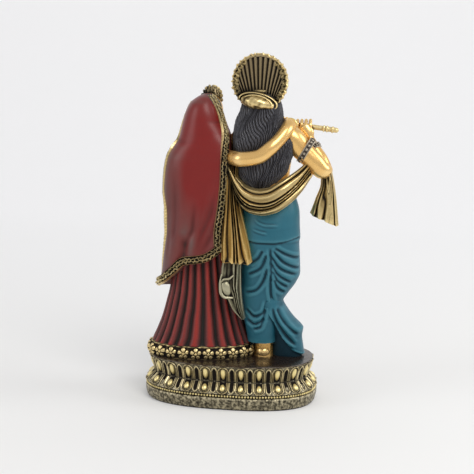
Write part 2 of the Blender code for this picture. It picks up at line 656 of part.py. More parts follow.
def band(lower, upper, half_thickness, out_from):
    """A flat braid between two lines of points, raised from the cloth under it."""
    rings = []
    for low, high in zip(lower, upper):
        middle = (low + high) / 2
        away = middle - out_from
        away[2] = 0
        away /= np.linalg.norm(away)
        half = (high - low) / 2
        rings.append(
            [
                middle - half - away * half_thickness,
                middle - half + away * half_thickness * 0.5,
                middle - half * 0.6 + away * half_thickness,
                middle + half * 0.6 + away * half_thickness,
                middle + half + away * half_thickness * 0.5,
                middle + half - away * half_thickness,
            ]
        )
    return np.array(rings)


def hair_grid():
    """Krishna's hair: a long mass of wavy locks down his back."""
    columns = HAIR_LOCKS * 2
    angles = np.arange(columns) * 2 * math.pi / columns
    heights = np.array(HAIR_RINGS)[:, None]
    grid = upright(HAIR, heights, angles)
    side = np.where(np.arange(columns) % 2 == 0, 0.5, -0.5)[None, :]
    return outward(grid, side * LOCK_DEPTH + 0 * heights)


def fold_grid(track, stroke):
    """A soft roll of cloth that lies along a stroke on the back of an upright form."""
    path = [(x, back_of(track, x, z) - 0.3, z, FOLD_RADIUS, FOLD_RADIUS) for x, z in stroke]
    grid = tube(path, 5, 5)
    size = np.array(FOLD_TAPER)[:, None, None]
    middle = grid.mean(axis=1, keepdims=True)
    return middle + (grid - middle) * size


def crown_grid():
    """The round fan behind Krishna's head, with ribs that spread from its hub."""
    columns = CROWN_RIBS * 2
    angles = np.arange(columns) * 2 * math.pi / columns
    rim = np.stack(
        (
            CROWN_CENTRE[0] + CROWN_RADIUS * np.sin(angles),
            CROWN_CENTRE[2] + CROWN_RADIUS * np.cos(angles),
        ),
        axis=-1,
    )
    hub = np.asarray(CROWN_HUB)
    tooth = np.where(np.arange(columns) % 2 == 0, 0.5, -0.5)
    rings = []
    for share, depth, rib, teeth in CROWN_STATIONS:
        flat = hub + (rim - hub) * (share + teeth * CROWN_TEETH * tooth * 2)[:, None]
        y = CROWN_CENTRE[1] + depth * CROWN_THICKNESS + rib * tooth * RIB_DEPTH
        rings.append(np.stack((flat[:, 0], y, flat[:, 1]), axis=-1))
    return np.array(rings)


def cap_grid():
    """The rounded cap at the foot of the fan, tilted to one side."""
    grid = ball((0, 0, 0), CAP_REACH, 16, 7)
    angle = math.radians(CAP_TILT)
    x = grid[..., 0] * math.cos(angle) - grid[..., 2] * math.sin(angle)
    z = grid[..., 0] * math.sin(angle) + grid[..., 2] * math.cos(angle)
    grid[..., 0] = x
    grid[..., 2] = z
    return grid + np.asarray(CAP_CENTRE)


def finger_grids(knuckles, tips, radius):
    """Four fingers from a row of knuckles to a row of tips."""
    grids = []
    for start, end in zip(along(knuckles, 4), along(tips, 4)):
        middle = (start + end) / 2 + np.array(FINGER_BEND)
        path = [tuple(point) + (radius, radius) for point in (start, middle, end)]
        grids.append(tube(path, 6, 3))
    return grids


def figure_forms():
    """Each form of the two figures, as a name and its rings."""
    forms = [
        ("skirt", skirt_grid()),
        ("veil", veil_grid()),
        ("hair", hair_grid()),
        ("crown", crown_grid()),
        ("crown_cap", cap_grid()),
    ]
    bodies = (("dhoti", DHOTI, 28, 16), ("dhoti_tail", TAIL, 20, 9))
    for name, track, columns, rows in bodies:
        angles = np.arange(columns) * 2 * math.pi / columns
        heights = np.linspace(track[0][0], track[-1][0], rows)[:, None]
        forms.append((name, upright(track, heights, angles)))
    torsos = (("krishna_torso", KRISHNA_TORSO), ("radha_torso", RADHA_TORSO))
    for name, track in torsos:
        angles = np.arange(20) * 2 * math.pi / 20
        heights = np.linspace(track[0][0], track[-1][0], 9)[:, None]
        forms.append((name, upright(track, heights, angles)))
    limbs = (
        ("radha_right_arm", RADHA_RIGHT_ARM, 10, 11),
        ("radha_left_arm", RADHA_LEFT_ARM, 8, 8),
        ("krishna_right_arm", KRISHNA_RIGHT_ARM, 10, 12),
        ("krishna_left_arm", KRISHNA_LEFT_ARM, 8, 9),
        ("krishna_right_palm", KRISHNA_RIGHT_PALM, 8, 3),
        ("krishna_left_palm", KRISHNA_LEFT_PALM, 8, 3),
        ("krishna_left_foot", KRISHNA_LEFT_FOOT, 8, 4),
        ("krishna_right_foot", KRISHNA_RIGHT_FOOT, 8, 4),
        ("radha_left_foot", RADHA_LEFT_FOOT, 8, 3),
        ("radha_right_foot", RADHA_RIGHT_FOOT, 8, 3),
        ("flute", FLUTE, 8, 2),
        ("flute_ring", FLUTE_RING, 8, 2),
        ("armlet", ARMLET, 12, 2),
        ("wristlet", WRISTLET, 10, 2),
        ("ankle", ANKLE, 12, 3),
    )
    for name, path, sides, rows in limbs:
        forms.append((name, tube(path, sides, rows, name not in ("armlet", "wristlet", "ankle"))))
    hands = (
        ("krishna_right", KRISHNA_RIGHT_FINGERS),
        ("krishna_left", KRISHNA_LEFT_FINGERS),
        ("radha_right", RADHA_RIGHT_FINGERS),
        ("radha_left", RADHA_LEFT_FINGERS),
    )
    for name, (knuckles, tips) in hands:
        for index, grid in enumerate(finger_grids(knuckles, tips, FINGER_RADIUS)):
            forms.append((f"{name}_finger_{index + 1}", grid))
    for name, centre, reach in BALLS:
        forms.append((name, ball(centre, reach, 12, 6)))
    core = np.array(RADHA_MIDDLE)
    forms.append(("veil_hem_braid", band(*hem_braid(), BRAID_THICKNESS, core)))
    forms.append(("veil_side_braid", band(*side_braid(), BRAID_THICKNESS, core)))
    for name, (first, second), rows, thickness, bulge, pleats, depth in SCARF_STRIPS:
        forms.append((name, ribbon(first, second, rows, thickness, bulge, pleats, depth)))
    for index, stroke in enumerate(DHOTI_FOLDS):
        forms.append((f"dhoti_fold_{index + 1}", fold_grid(DHOTI, stroke)))
    for index, stroke in enumerate(TAIL_FOLDS):
        forms.append((f"tail_fold_{index + 1}", fold_grid(TAIL, stroke)))
    forms.append(("krishna_head", head(*KRISHNA_HEAD, 20, 12)))
    forms.append(("radha_head", head(*RADHA_HEAD, 20, 12)))
    return forms


def material():
    """Painted cast resin."""
    paint = bpy.data.materials.new("painted resin")
    paint.use_nodes = True
    shader = paint.node_tree.nodes["Principled BSDF"]
    shader.inputs["Base Color"].default_value = RESIN_COLOUR
    shader.inputs["Roughness"].default_value = RESIN_ROUGHNESS
    shader.inputs["Metallic"].default_value = RESIN_METALLIC
    return paint


def main():
    for item in list(bpy.data.objects):
        bpy.data.objects.remove(item)
    statue = bpy.data.objects.new("statue", solid_mesh("statue", [plinth_grid()]))
    statue.data.materials.append(material())
    figures = bpy.data.objects.new("figures", figures_mesh())
    figures.hide_render = True
    figures.display_type = "WIRE"
    for item in (statue, figures):
        bpy.context.scene.collection.objects.link(item)
    cast = figures.modifiers.new("one skin", "REMESH")
    cast.mode = "VOXEL"
    cast.voxel_size = SKIN_GRAIN * MM
    fewer = figures.modifiers.new("facets", "DECIMATE")
    fewer.ratio = SKIN_FACETS
    union = statue.modifiers.new("one casting", "BOOLEAN")
    union.operation = "UNION"
    union.object = figures
    union.solver = "EXACT"


main()
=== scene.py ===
"""Radha and Krishna statuette: the painted surface of the casting, and the studio around it.

The figures face -Y, so the camera at +Y sees their draped backs. Radha stands at +X, Krishna at
-X. Shapes are drawn in millimetres and turned into metres when each mesh is made.
"""

import math

import bpy
import numpy as np
from bpy.props import FloatProperty, FloatVectorProperty, IntProperty, PointerProperty
from mathutils import Matrix, Vector


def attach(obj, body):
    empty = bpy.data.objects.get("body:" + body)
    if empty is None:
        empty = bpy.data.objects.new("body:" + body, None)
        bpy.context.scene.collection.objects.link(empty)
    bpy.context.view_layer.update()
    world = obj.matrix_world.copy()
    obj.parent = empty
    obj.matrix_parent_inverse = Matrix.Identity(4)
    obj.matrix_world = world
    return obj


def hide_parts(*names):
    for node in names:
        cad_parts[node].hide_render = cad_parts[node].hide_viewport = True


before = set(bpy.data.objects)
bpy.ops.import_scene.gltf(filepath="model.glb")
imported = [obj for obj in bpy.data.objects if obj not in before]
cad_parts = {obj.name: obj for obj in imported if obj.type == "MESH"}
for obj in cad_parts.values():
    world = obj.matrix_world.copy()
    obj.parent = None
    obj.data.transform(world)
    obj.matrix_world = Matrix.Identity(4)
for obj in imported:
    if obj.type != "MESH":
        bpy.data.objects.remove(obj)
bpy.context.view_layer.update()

bl_info = {
    "name": "Radha Krishna statuette",
    "version": (1, 0, 0),
    "blender": (4, 5, 0),
    "location": "3D View > Sidebar > Statuette",
    "description": "Builds the painted surface of a cast statuette piece by piece",
    "category": "Add Mesh",
}

MM = 0.001
TURN = 2 * math.pi

# Plinth
PLINTH_HALF_LENGTH = 67.5
PLINTH_HALF_WIDTH = 46.5
PLINTH_HEIGHT = 34.0
PLINTH_POWER = 2.5
PLINTH_PROFILE = (
    # height, inset from the widest line
    (0.0, 2.6),
    (0.7, 1.7),
    (2.0, 1.0),
    (5.0, 0.3),
    (8.6, 0.0),
    (9.4, 0.2),
    (9.8, 0.9),
    (10.2, 1.4),
    (12.2, 1.4),
    (12.5, 0.9),
    (13.0, 0.7),
    (14.2, 1.3),
    (17.0, 3.4),
    (19.5, 6.0),
    (21.0, 7.3),
    (22.5, 7.2),
    (26.0, 6.3),
    (31.0, 4.6),
    (32.6, 4.0),
    (33.4, 3.6),
    (33.9, 3.7),
    (34.0, 4.2),
)
BEAD_LINE = (11.2, 1.0)
WAIST_INSET = 7.3
PLATE_PROFILE = (
    (32.0, 4.6), (33.6, 3.9), (34.0, 4.1), (34.05, 4.6), (34.05, 12), (34.05, 24), (34.05, 34),
)

# Rows of petals: name, foot at the waist and tip
PETAL_ROWS = (("upper", 21.5, 33.4), ("lower", 20.5, 12.9))
PETAL_AND_SEPAL = 14.8
BOSS_WIDTH = 4.4
BOSS_PROUD = 1.6

# Upright forms: height, left, right, back, front, middle and roundness
SKIRT = (
    (30, 65.0, -17.0, 27.0, -27.0, 0.0, 2.3),
    (38, 65.5, -17.5, 27.5, -27.5, 0.0, 2.3),
    (43, 63.0, -15.0, 25.5, -25.5, 0.0, 2.3),
    (52, 59.0, -11.5, 23.5, -24.0, -0.5, 2.2),
    (62, 55.3, -8.0, 21.5, -22.5, -1.0, 2.2),
    (74, 52.2, -5.0, 19.5, -21.0, -1.5, 2.1),
    (86, 49.5, -2.0, 18.0, -20.0, -2.0, 2.1),
    (105, 47.5, 1.5, 16.5, -19.0, -2.0, 2.1),
    (130, 45.5, 5.0, 14.0, -18.0, -2.5, 2.0),
    (150, 40.0, 10.5, 9.0, -15.5, -3.0, 2.0),
    (160, 37.5, 13.0, 7.0, -14.0, -3.0, 2.0),
)
SKIRT_TURN = 10.0
SKIRT_CENTRE = (24.0, 0.0)
HEM_PITCH = 9.8
VEIL = (
    (86, 58.8, 4.0, 24.5, -5.0, 3.0, 2.3),
    (97, 56.7, 4.5, 24.0, -5.0, 3.0, 2.3),
    (111, 55.2, 5.5, 23.0, -5.0, 3.0, 2.4),
    (120, 54.2, 5.8, 22.3, -5.0, 3.0, 2.4),
    (132, 53.3, 6.4, 21.5, -5.0, 3.0, 2.4),
    (148, 53.6, 4.8, 20.7, -5.0, 3.0, 2.4),
    (164, 55.0, 3.3, 20.2, -6.0, 3.0, 2.4),
    (178, 54.5, 2.7, 19.6, -7.0, 2.0, 2.4),
    (188, 53.0, 2.8, 18.8, -7.0, 1.0, 2.4),
    (196, 49.4, 3.0, 17.7, -7.0, 0.0, 2.3),
    (202, 45.3, 3.5, 16.6, -7.0, -1.0, 2.2),
    (207, 44.2, 4.6, 15.6, -8.0, -2.0, 2.1),
    (216.5, 42.3, 8.6, 14.0, -10.0, -3.0, 2.0),
    (224, 40.3, 11.3, 12.5, -11.0, -4.0, 2.0),
    (231, 36.8, 14.8, 9.5, -11.0, -5.0, 2.0),
    (235.5, 31.0, 18.0, 4.0, -10.0, -5.5, 2.0),
    (238, 26.0, 21.5, -2.5, -7.5, -5.5, 2.0),
)
VEIL_TOP = 238.0
VEIL_CORNER = ((86, 8.0), (188, 8.0), (198, 4.5), (208, 2.8), (217, 2.1), (238, 2.0))
VEIL_HEM = ((-90, 121), (-55, 117), (-20, 110), (10, 107), (30, 99), (55, 91), (90, 86))
# Left braid: rows and columns of the veil's surface
VEIL_LEFT_BRAID = ((14, 50, 66, 128, 165, 196), (99, 84, 66, 66, 82, 93))
VEIL_FOLDS = (
    ((47.0, 188), (45.0, 165), (44.3, 145), (45.2, 125), (46.5, 100)),
    ((43.0, 100), (35.5, 122), (29.5, 137), (27.5, 160)),
    ((31.0, 108), (22.0, 132), (14.5, 152), (11.5, 176)),
    ((24.0, 112), (16.0, 128), (11.5, 142), (9.8, 156)),
    ((37.5, 104), (36.0, 118), (36.8, 134)),
    ((53.0, 96), (51.0, 116), (50.8, 150), (50.6, 176)),
)
DHOTI = (
    (45, -12.5, -34.5, 12.5, -12.0, 1.0, 2.2),
    (50, -12.0, -35.0, 13.5, -13.0, 1.0, 2.2),
    (60, -10.0, -36.5, 14.5, -14.0, 1.0, 2.2),
    (70, -7.5, -38.0, 15.0, -15.0, 0.0, 2.2),
    (78.5, -6.0, -39.4, 15.5, -15.5, 0.0, 2.2),
    (85, -5.5, -43.4, 16.5, -16.0, 0.0, 2.2),
    (94, -6.0, -49.4, 17.5, -16.0, 0.0, 2.2),
    (101.5, -5.5, -52.0, 18.5, -16.0, 0.0, 2.2),
    (117, -5.0, -51.4, 20.5, -15.5, 0.0, 2.2),
    (126, -4.5, -51.0, 21.0, -15.0, 0.0, 2.2),
    (129, -4.0, -51.6, 22.0, -15.0, 0.0, 2.2),
    (138, -4.0, -51.0, 21.5, -15.0, 0.0, 2.2),
    (148, -4.5, -50.5, 19.0, -14.5, 0.0, 2.2),
    (158, -6.0, -48.1, 15.5, -13.5, 0.0, 2.2),
    (166, -9.0, -43.0, 11.5, -12.5, 0.0, 2.2),
)
TAIL = (
    (30, -30.0, -55.0, 2.5, -16.0, -6.0, 2.3),
    (36, -30.0, -56.5, 4.5, -17.0, -6.0, 2.3),
    (42, -30.0, -55.8, 6.0, -17.0, -5.0, 2.3),
    (50, -29.0, -54.8, 8.0, -16.0, -4.0, 2.2),
    (57, -28.0, -55.7, 10.5, -16.0, -3.0, 2.2),
    (60, -27.0, -53.5, 11.5, -16.0, -2.5, 2.2),
    (64, -25.0, -49.4, 12.5, -15.5, -2.0, 2.1),
    (71, -22.0, -43.9, 14.0, -15.0, -1.0, 2.0),
    (79, -20.0, -39.6, 14.5, -14.0, 0.0, 2.0),
    (88, -20.0, -39.0, 12.0, -12.0, 0.0, 2.0),
)
KRISHNA_TORSO = (
    (150, -9.0, -45.5, 12.0, -13.0, 0.0, 2.1),
    (166, -7.5, -42.0, 12.0, -12.5, 0.0, 2.1),
    (178, -3.0, -42.0, 12.0, -14.0, -0.5, 2.2),
    (190, 1.0, -43.0, 12.5, -15.5, -1.0, 2.2),
    (200, 3.0, -43.0, 12.5, -15.0, -1.0, 2.2),
    (207, 1.0, -40.0, 11.0, -12.5, -1.5, 2.1),
    (212, -7.0, -31.0, 7.5, -10.0, -2.0, 2.0),
    (216, -11.5, -25.5, 4.0, -9.0, -2.5, 2.0),
    (224, -12.0, -25.0, 4.0, -9.0, -2.5, 2.0),
)
RADHA_TORSO = (
    (150, 38.5, 12.0, 6.0, -16.0, -3.0, 2.1),
    (160, 36.5, 13.5, 6.0, -15.0, -3.0, 2.1),
    (172, 39.0, 11.5, 6.0, -17.5, -3.0, 2.1),
    (184, 42.5, 8.0, 6.0, -20.0, -3.0, 2.2),
    (194, 43.5, 6.5, 6.0, -17.0, -3.0, 2.2),
    (202, 40.0, 8.0, 5.0, -13.0, -3.0, 2.1),
    (207, 31.0, 13.0, 4.0, -11.0, -3.5, 2.0),
    (211, 26.5, 16.0, 2.0, -11.0, -4.0, 2.0),
    (218, 26.0, 16.5, 2.0, -11.0, -4.0, 2.0),
)
HAIR = (
    (167.5, -16.5, -24.5, 14.5, 4.0, 9.0, 2.0),
    (170.5, -10.5, -30.3, 16.5, 0.0, 7.0, 2.1),
    (175, -4.5, -36.1, 18.0, -2.0, 6.0, 2.2),
    (180.2, -1.2, -40.2, 18.5, -4.0, 5.0, 2.2),
    (186.5, 0.4, -42.1, 18.5, -5.0, 4.0, 2.2),
    (196, 1.2, -44.9, 18.0, -5.0, 3.0, 2.2),
    (202, 1.6, -45.7, 17.5, -4.0, 3.0, 2.2),
    (207.5, 1.8, -43.9, 17.0, -3.0, 2.0, 2.1),
    (212, 1.4, -39.5, 16.0, -3.0, 1.0, 2.1),
    (219, 0.0, -36.2, 14.5, -4.0, 0.0, 2.1),
    (226, -2.9, -35.2, 13.5, -5.0, -1.0, 2.1),
    (233, -4.6, -33.2, 12.0, -6.0, -2.0, 2.1),
    (240, -9.0, -28.0, 8.0, -8.0, -3.0, 2.0),
)

# Limbs: x, y, z, half width and half depth
RADHA_RIGHT_ARM = (
    (13, 5, 190.8, 5.8, 5.6),
    (6, 8, 190.4, 5.8, 5.6),
    (2.4, 11.2, 190.3, 5.8, 5.6),
    (-2.5, 16.2, 190.3, 5.8, 5.5),
    (-8, 20.5, 190.6, 5.7, 5.3),
    (-20, 21.5, 192.8, 5.5, 5.2),
    (-29, 19.5, 199.5, 5.3, 5.0),
    (-36, 14, 207, 5.0, 4.8),
    (-40.5, 7, 214, 5.2, 4.6),
    (-41.5, -1, 217, 5.0, 4.2),
    (-40.5, -8, 214, 4.2, 3.0),
)
RADHA_LEFT_ARM = (
    (41, -6, 198, 6.5, 6.5),
    (46, -9, 187, 5.8, 5.8),
    (47.5, -13, 173, 5.2, 5.2),
    (40, -21, 172, 4.6, 4.6),
    (29, -26, 178, 3.6, 3.4),
    (24, -27.5, 181.5, 3.2, 3.0),
)
KRISHNA_RIGHT_ARM = (
    (-34, 0, 209, 8.6, 8.6),
    (-42, 0, 206.5, 9.2, 8.8),
    (-52, 0, 196.5, 8.2, 8.0),
    (-61, -0.5, 188, 7.6, 7.6),
    (-67, -2, 182, 6.9, 6.9),
    (-68.5, -5, 181.5, 6.3, 6.3),
    (-65.2, -8, 188.8, 5.7, 5.6),
    (-58.6, -11, 199, 4.4, 4.2),
    (-55.4, -12.5, 205, 3.7, 3.2),
)
KRISHNA_LEFT_ARM = (
    (-4, -2, 205, 8.0, 8.0),
    (0.5, -6, 199, 7.4, 7.4),
    (-1, -13, 188, 6.6, 6.6),
    (-4, -18.5, 181.5, 6.0, 6.0),
    (-12, -22, 190, 5.2, 5.2),
    (-21, -23.5, 201, 4.2, 4.0),
    (-26.5, -23.5, 208, 3.4, 3.2),
)
KRISHNA_RIGHT_PALM = (
    (-55.4, -12.5, 205, 3.7, 3.2),
    (-53.4, -12.8, 208.6, 5.6, 3.2),
    (-50.6, -13.0, 211.2, 6.1, 2.9),
)
KRISHNA_LEFT_PALM = (
    (-26.5, -23.5, 208, 3.4, 3.2),
    (-29.5, -24, 211.5, 4.8, 2.8),
    (-31.5, -24.3, 214.5, 5.0, 2.6),
)
KRISHNA_LEFT_FOOT = ((-25.2, 3, 37.5, 6.0, 5.0), (-25.5, -8, 38, 6.2, 5.4), (-26.5, -20, 36.5, 6.8, 3.6))
KRISHNA_RIGHT_FOOT = ((-50, -10, 44, 5.0, 4.6), (-48, -19, 39.5, 5.6, 4.0), (-46, -26, 36.0, 5.8, 3.0))
RADHA_LEFT_FOOT = ((32, -18, 36.5, 6.0, 4.2), (33, -31, 35.8, 6.2, 3.4))
RADHA_RIGHT_FOOT = ((13, -18, 36.5, 6.0, 4.2), (11, -32, 35.8, 6.2, 3.4))

# Fingers: the ends of the row of knuckles, then the ends of the row of tips
KRISHNA_RIGHT_FINGERS = (
    ((-55.4, -12.6, 210.4), (-45.4, -13.0, 211.4)),
    ((-55.2, -16.4, 218.6), (-45.2, -16.8, 218.2)),
)
KRISHNA_LEFT_FINGERS = (
    ((-28, -24.5, 214), (-36, -24.3, 213)),
    ((-28.2, -20.2, 220), (-36.4, -19.8, 219)),
)
RADHA_RIGHT_FINGERS = (
    ((-43.6, -7, 215.4), (-37, -8, 214.6)),
    ((-42.4, -14, 207.5), (-36.6, -15, 207)),
)
RADHA_LEFT_FINGERS = (
    ((27, -28, 182), (20.5, -29, 182.5)),
    ((26, -31, 189), (20.5, -32, 189)),
)

# Flute and the rings on arms and ankle, written as the limbs are
ANKLE = ((-25.2, 0.5, 33, 7.6, 7.2), (-25.2, 0.5, 37, 7.2, 6.8), (-25.2, 0.5, 52, 7.4, 7.0))
FLUTE = ((-14, -19.8, 217.4, 2.1, 2.1), (-75.4, -15.5, 211.7, 2.15, 2.15))
ARMLET = ((-52.4, -0.2, 198.1, 11.0, 9.3), (-56.6, -0.3, 195.7, 10.8, 9.1))
WRISTLET = ((-60.2, -10.2, 196.8, 5.6, 5.3), (-58.2, -11.3, 200.6, 5.2, 4.9))

# Necklaces, garland and thumb, as x, y, z points
RADHA_NECKLACE = (
    (14.5, -9.5, 205), (16, -14.5, 199), (22, -19.5, 194), (28.5, -15.5, 199), (30, -9.5, 205),
)
KRISHNA_NECKLACE = (
    (-28, -8.5, 211), (-27, -13.5, 205), (-19.5, -18.5, 196), (-11, -13.5, 205), (-9.5, -8.5, 211),
)
KRISHNA_GARLAND = ((-33, -9, 208), (-33, -15, 196), (-19.5, -19.0, 180), (-6, -15, 196), (-5, -9, 208))
KRISHNA_THUMB = ((-52.5, -15.5, 208.5), (-50.0, -18.6, 211.5), (-49.0, -19.8, 214.6))
FLUTE_RINGS = (0.06, 0.845, 0.885, 0.955)

# Bangles: arm, share of the way along it, growth past the arm and thickness
RADHA_BANGLES = (
    (RADHA_LEFT_ARM, 0.80, 0.7, 1.0), (RADHA_LEFT_ARM, 0.87, 0.7, 1.0), (RADHA_RIGHT_ARM, 0.90, 0.6, 0.9),
)

# Scarf: edges as x, y, z points from one end to the other
SWAG_UPPER = (
    (3, 16, 186), (-5.2, 18.5, 175.5), (-11.4, 19.5, 170.4), (-20, 20, 168.4), (-27.6, 20, 169.4),
    (-36, 18.5, 174.0), (-43.5, 14.5, 178.8), (-50.2, 8, 183.8), (-55.5, 2, 188.6),
)
SWAG_LOWER = (
    (1, 17, 176), (-3.2, 21, 163.5), (-8.5, 22.5, 154.8), (-15.5, 23.5, 150.0), (-24.5, 24, 148.6),
    (-34, 22.5, 150.5), (-43.8, 18, 156.6), (-52.6, 10, 165.6), (-60, 2, 177.5),
)
BUNDLE_LEFT = ((4.5, 13, 192), (5, 17, 176), (5, 18.5, 160), (6, 20, 140), (6.5, 22, 122), (6.5, 22.5, 112))
BUNDLE_RIGHT = (
    (-4, 14, 190), (-4.6, 18, 174), (-6, 20, 160), (-11.2, 22, 140), (-15.8, 22, 122), (-17.6, 21.5, 111),
)
FALL_LEFT = (
    (4, 19, 118), (6.4, 20.5, 106), (6.8, 22, 92), (1.8, 22.5, 84), (-3.4, 21, 73), (-10.5, 19.5, 66),
)
FALL_RIGHT = (
    (-9, 18, 118), (-8.6, 19, 106), (-9, 20, 92), (-9.6, 20, 84), (-11, 19, 73), (-12.0, 18.5, 66),
)
SCARF_CURL = ((5.6, 22.5, 101), (6.4, 23.6, 94), (5.8, 24.4, 87.5), (2.0, 24.2, 83.5), (-3.0, 23.2, 83.4))
SCARF_HOOK = ((5.8, 24.2, 95.5), (3.2, 25.4, 98.0), (-0.4, 25.2, 98.6), (-3.4, 24.0, 101.0))
CUP_CENTRE = (2.4, 22.2, 90.6)
CUP_REACH = (3.9, 2.9, 7.0)
CUP_TILT = -14.0
DROP_LEFT = ((-66, -3, 184), (-66, -2.5, 172), (-62.4, -2, 160), (-58.4, -1.5, 148))
DROP_RIGHT = ((-73, -3, 186), (-76.2, -2.5, 173), (-78.8, -2, 158), (-81.0, -1.5, 139))

# Deep folds of the dhoti, drawn on its back as x and z points
DHOTI_FOLDS = (
    ((-25.7, 121.4), (-21.7, 114.6), (-14.5, 109.5)),
    ((-29.1, 119.1), (-24.0, 107.1), (-12.7, 100.2)),
    ((-29.9, 108.3), (-25.7, 96.1), (-19.4, 88.5), (-10.4, 86.0)),
    ((-29.6, 81.7), (-25.7, 70.6), (-19.4, 67.7), (-11.0, 74.0)),
    ((-28.8, 74.9), (-25.1, 64.8), (-19.4, 61.3), (-12.0, 65.2)),
    ((-27.2, 67.3), (-23.4, 59.0), (-17.8, 57.2)),
    ((-34.0, 123.5), (-42.3, 118.6), (-52.4, 113.6)),
    ((-32.6, 122.5), (-41.1, 112.3), (-53.0, 105.4)),
    ((-32.0, 117.9), (-37.7, 108.2), (-51.3, 100.7)),
    ((-32.2, 112.1), (-37.1, 102.4), (-47.3, 94.8)),
    ((-32.7, 105.9), (-37.7, 96.6), (-44.6, 91.4)),
    ((-33.8, 99.0), (-37.7, 90.8), (-42.4, 86.9)),
    ((-31.2, 124.7), (-32.0, 105.3), (-31.7, 91.4), (-33.6, 75.7)),
)
DHOTI_WRINKLES = (
    ((-17.6, 145.4), (-21.6, 142.1), (-27.9, 140.4), (-38.2, 140.5)),
    ((-16.2, 137.1), (-23.4, 135.1), (-29.7, 134.1)),
)
TAIL_FOLDS = (
    ((-33, 76), (-36, 65), (-42.5, 54), (-51.5, 43)),
    ((-36, 76), (-40.5, 67), (-46.5, 59), (-53, 52)),
    ((-32, 62), (-36, 53), (-43, 45), (-50, 39)),
)
DHOTI_WRAP_EDGE = ((-51, 131), (-40, 128.2), (-31, 127.2), (-22, 127.3), (-14, 128.2), (-6, 131))
DHOTI_BELT = (159, 165.9)
TAIL_EDGE = ((28, 74), (35, 62.6), (41, 50.6), (47.9, 40.6), (57, 35.4))

# Crown: a fan of ribs that spread from a hub to a round rim, and the cap at its foot
CROWN_CENTRE = (-18.1, 3.5, 248.8)
CROWN_RADIUS = 21.4
CROWN_HUB = (-18.3, 232.6)
CROWN_HUB_REACH = (11.5, 5.5)
CROWN_RIBS = 32
CROWN_LEAVES = 60
CROWN_THICKNESS = 5.0
CAP_CENTRE = (-17.2, 8.5, 232.8)
CAP_REACH = (13.0, 7.5, 5.6)
CAP_TILT = 11.0

# Crown's fan from its hub to its rim: share of the way and share of half its thickness
CROWN_FRONT = ((0.06, -0.6), (0.5, -0.6), (0.88, -0.55), (0.93, -0.9), (0.98, -0.9), (1.0, -0.4))
CROWN_BACK_RIM = ((1.0, 0.4), (0.985, 0.8), (0.95, 0.95), (0.925, 0.8))

# Cap's bands: size beside the cap, start and stop in degrees. Rows of the tiara: tilt and leaves
CAP_BANDS = ((1.13, 88, -112), (0.86, 62, -104))
TIARA_ROWS = ((-8, 17), (12, 16), (32, 13), (52, 9), (72, 5))

# Heads and other round forms: centre, reach and, for a head, its turn
CROWN_BOWL = ((-18.3, -5.0, 239.5), (12.4, 11.5, 8.0))
CROWN_LEAF = ((-18.3, -14.5, 243.5), (6.2, 3.2, 9.5))
BUD_CENTRE = (23.2, -29.5, 189.5)
BUD_REACH = (4, 4, 6)
KRISHNA_HEAD = ((-18.3, -5.0, 227.0), (10.6, 12.6, 14.6), 0.0)
RADHA_HAIR = ((22.8, -2.5, 225.0), (10.6, 10.5, 12.4))
RADHA_TIARA = ((21.6, -11.0, 234.0), (7.2, 4.2, 8.8))
RADHA_HEAD = ((22.6, -7.5, 224.5), (9.8, 11.6, 13.4), 25.0)

# Strips of the scarf: edges, rows, thickness, bulge, pleats, their depth, seed, ragged end and roll
SCARF_STRIPS = (
    ("scarf_swag", SWAG_UPPER, SWAG_LOWER, 84, 8.0, 3.0, 5, 2.6, 1, 0.0, 1.2, "antique gold"),
    ("scarf_bundle", BUNDLE_LEFT, BUNDLE_RIGHT, 76, 8.0, 2.5, 5, 2.6, 2, 2.4, 0.4, "scarf gold"),
    ("scarf_drop", DROP_LEFT, DROP_RIGHT, 60, 5.0, 2.0, 4, 2.6, 5, 1.4, 0.4, "antique gold"),
    ("scarf_fall", FALL_LEFT, FALL_RIGHT, 76, 6.0, 1.5, 3, 2.2, 7, 0.0, 0.0, "pale scarf"),
)

# Wash and painted shade: size of a cell, steps of the look around each vertex, the space of the cells and
# two blurs
VOXEL = 0.9
MARCH = (2.0, 3.0, 4.2, 5.6, 7.5)
ROOM = ((-90.0, -60.0, -5.0), (90.0, 60.0, 280.0))
FINE_BLUR = 0.7
BROAD_BLUR = 1.8
SHELTER_BLENDS = 9
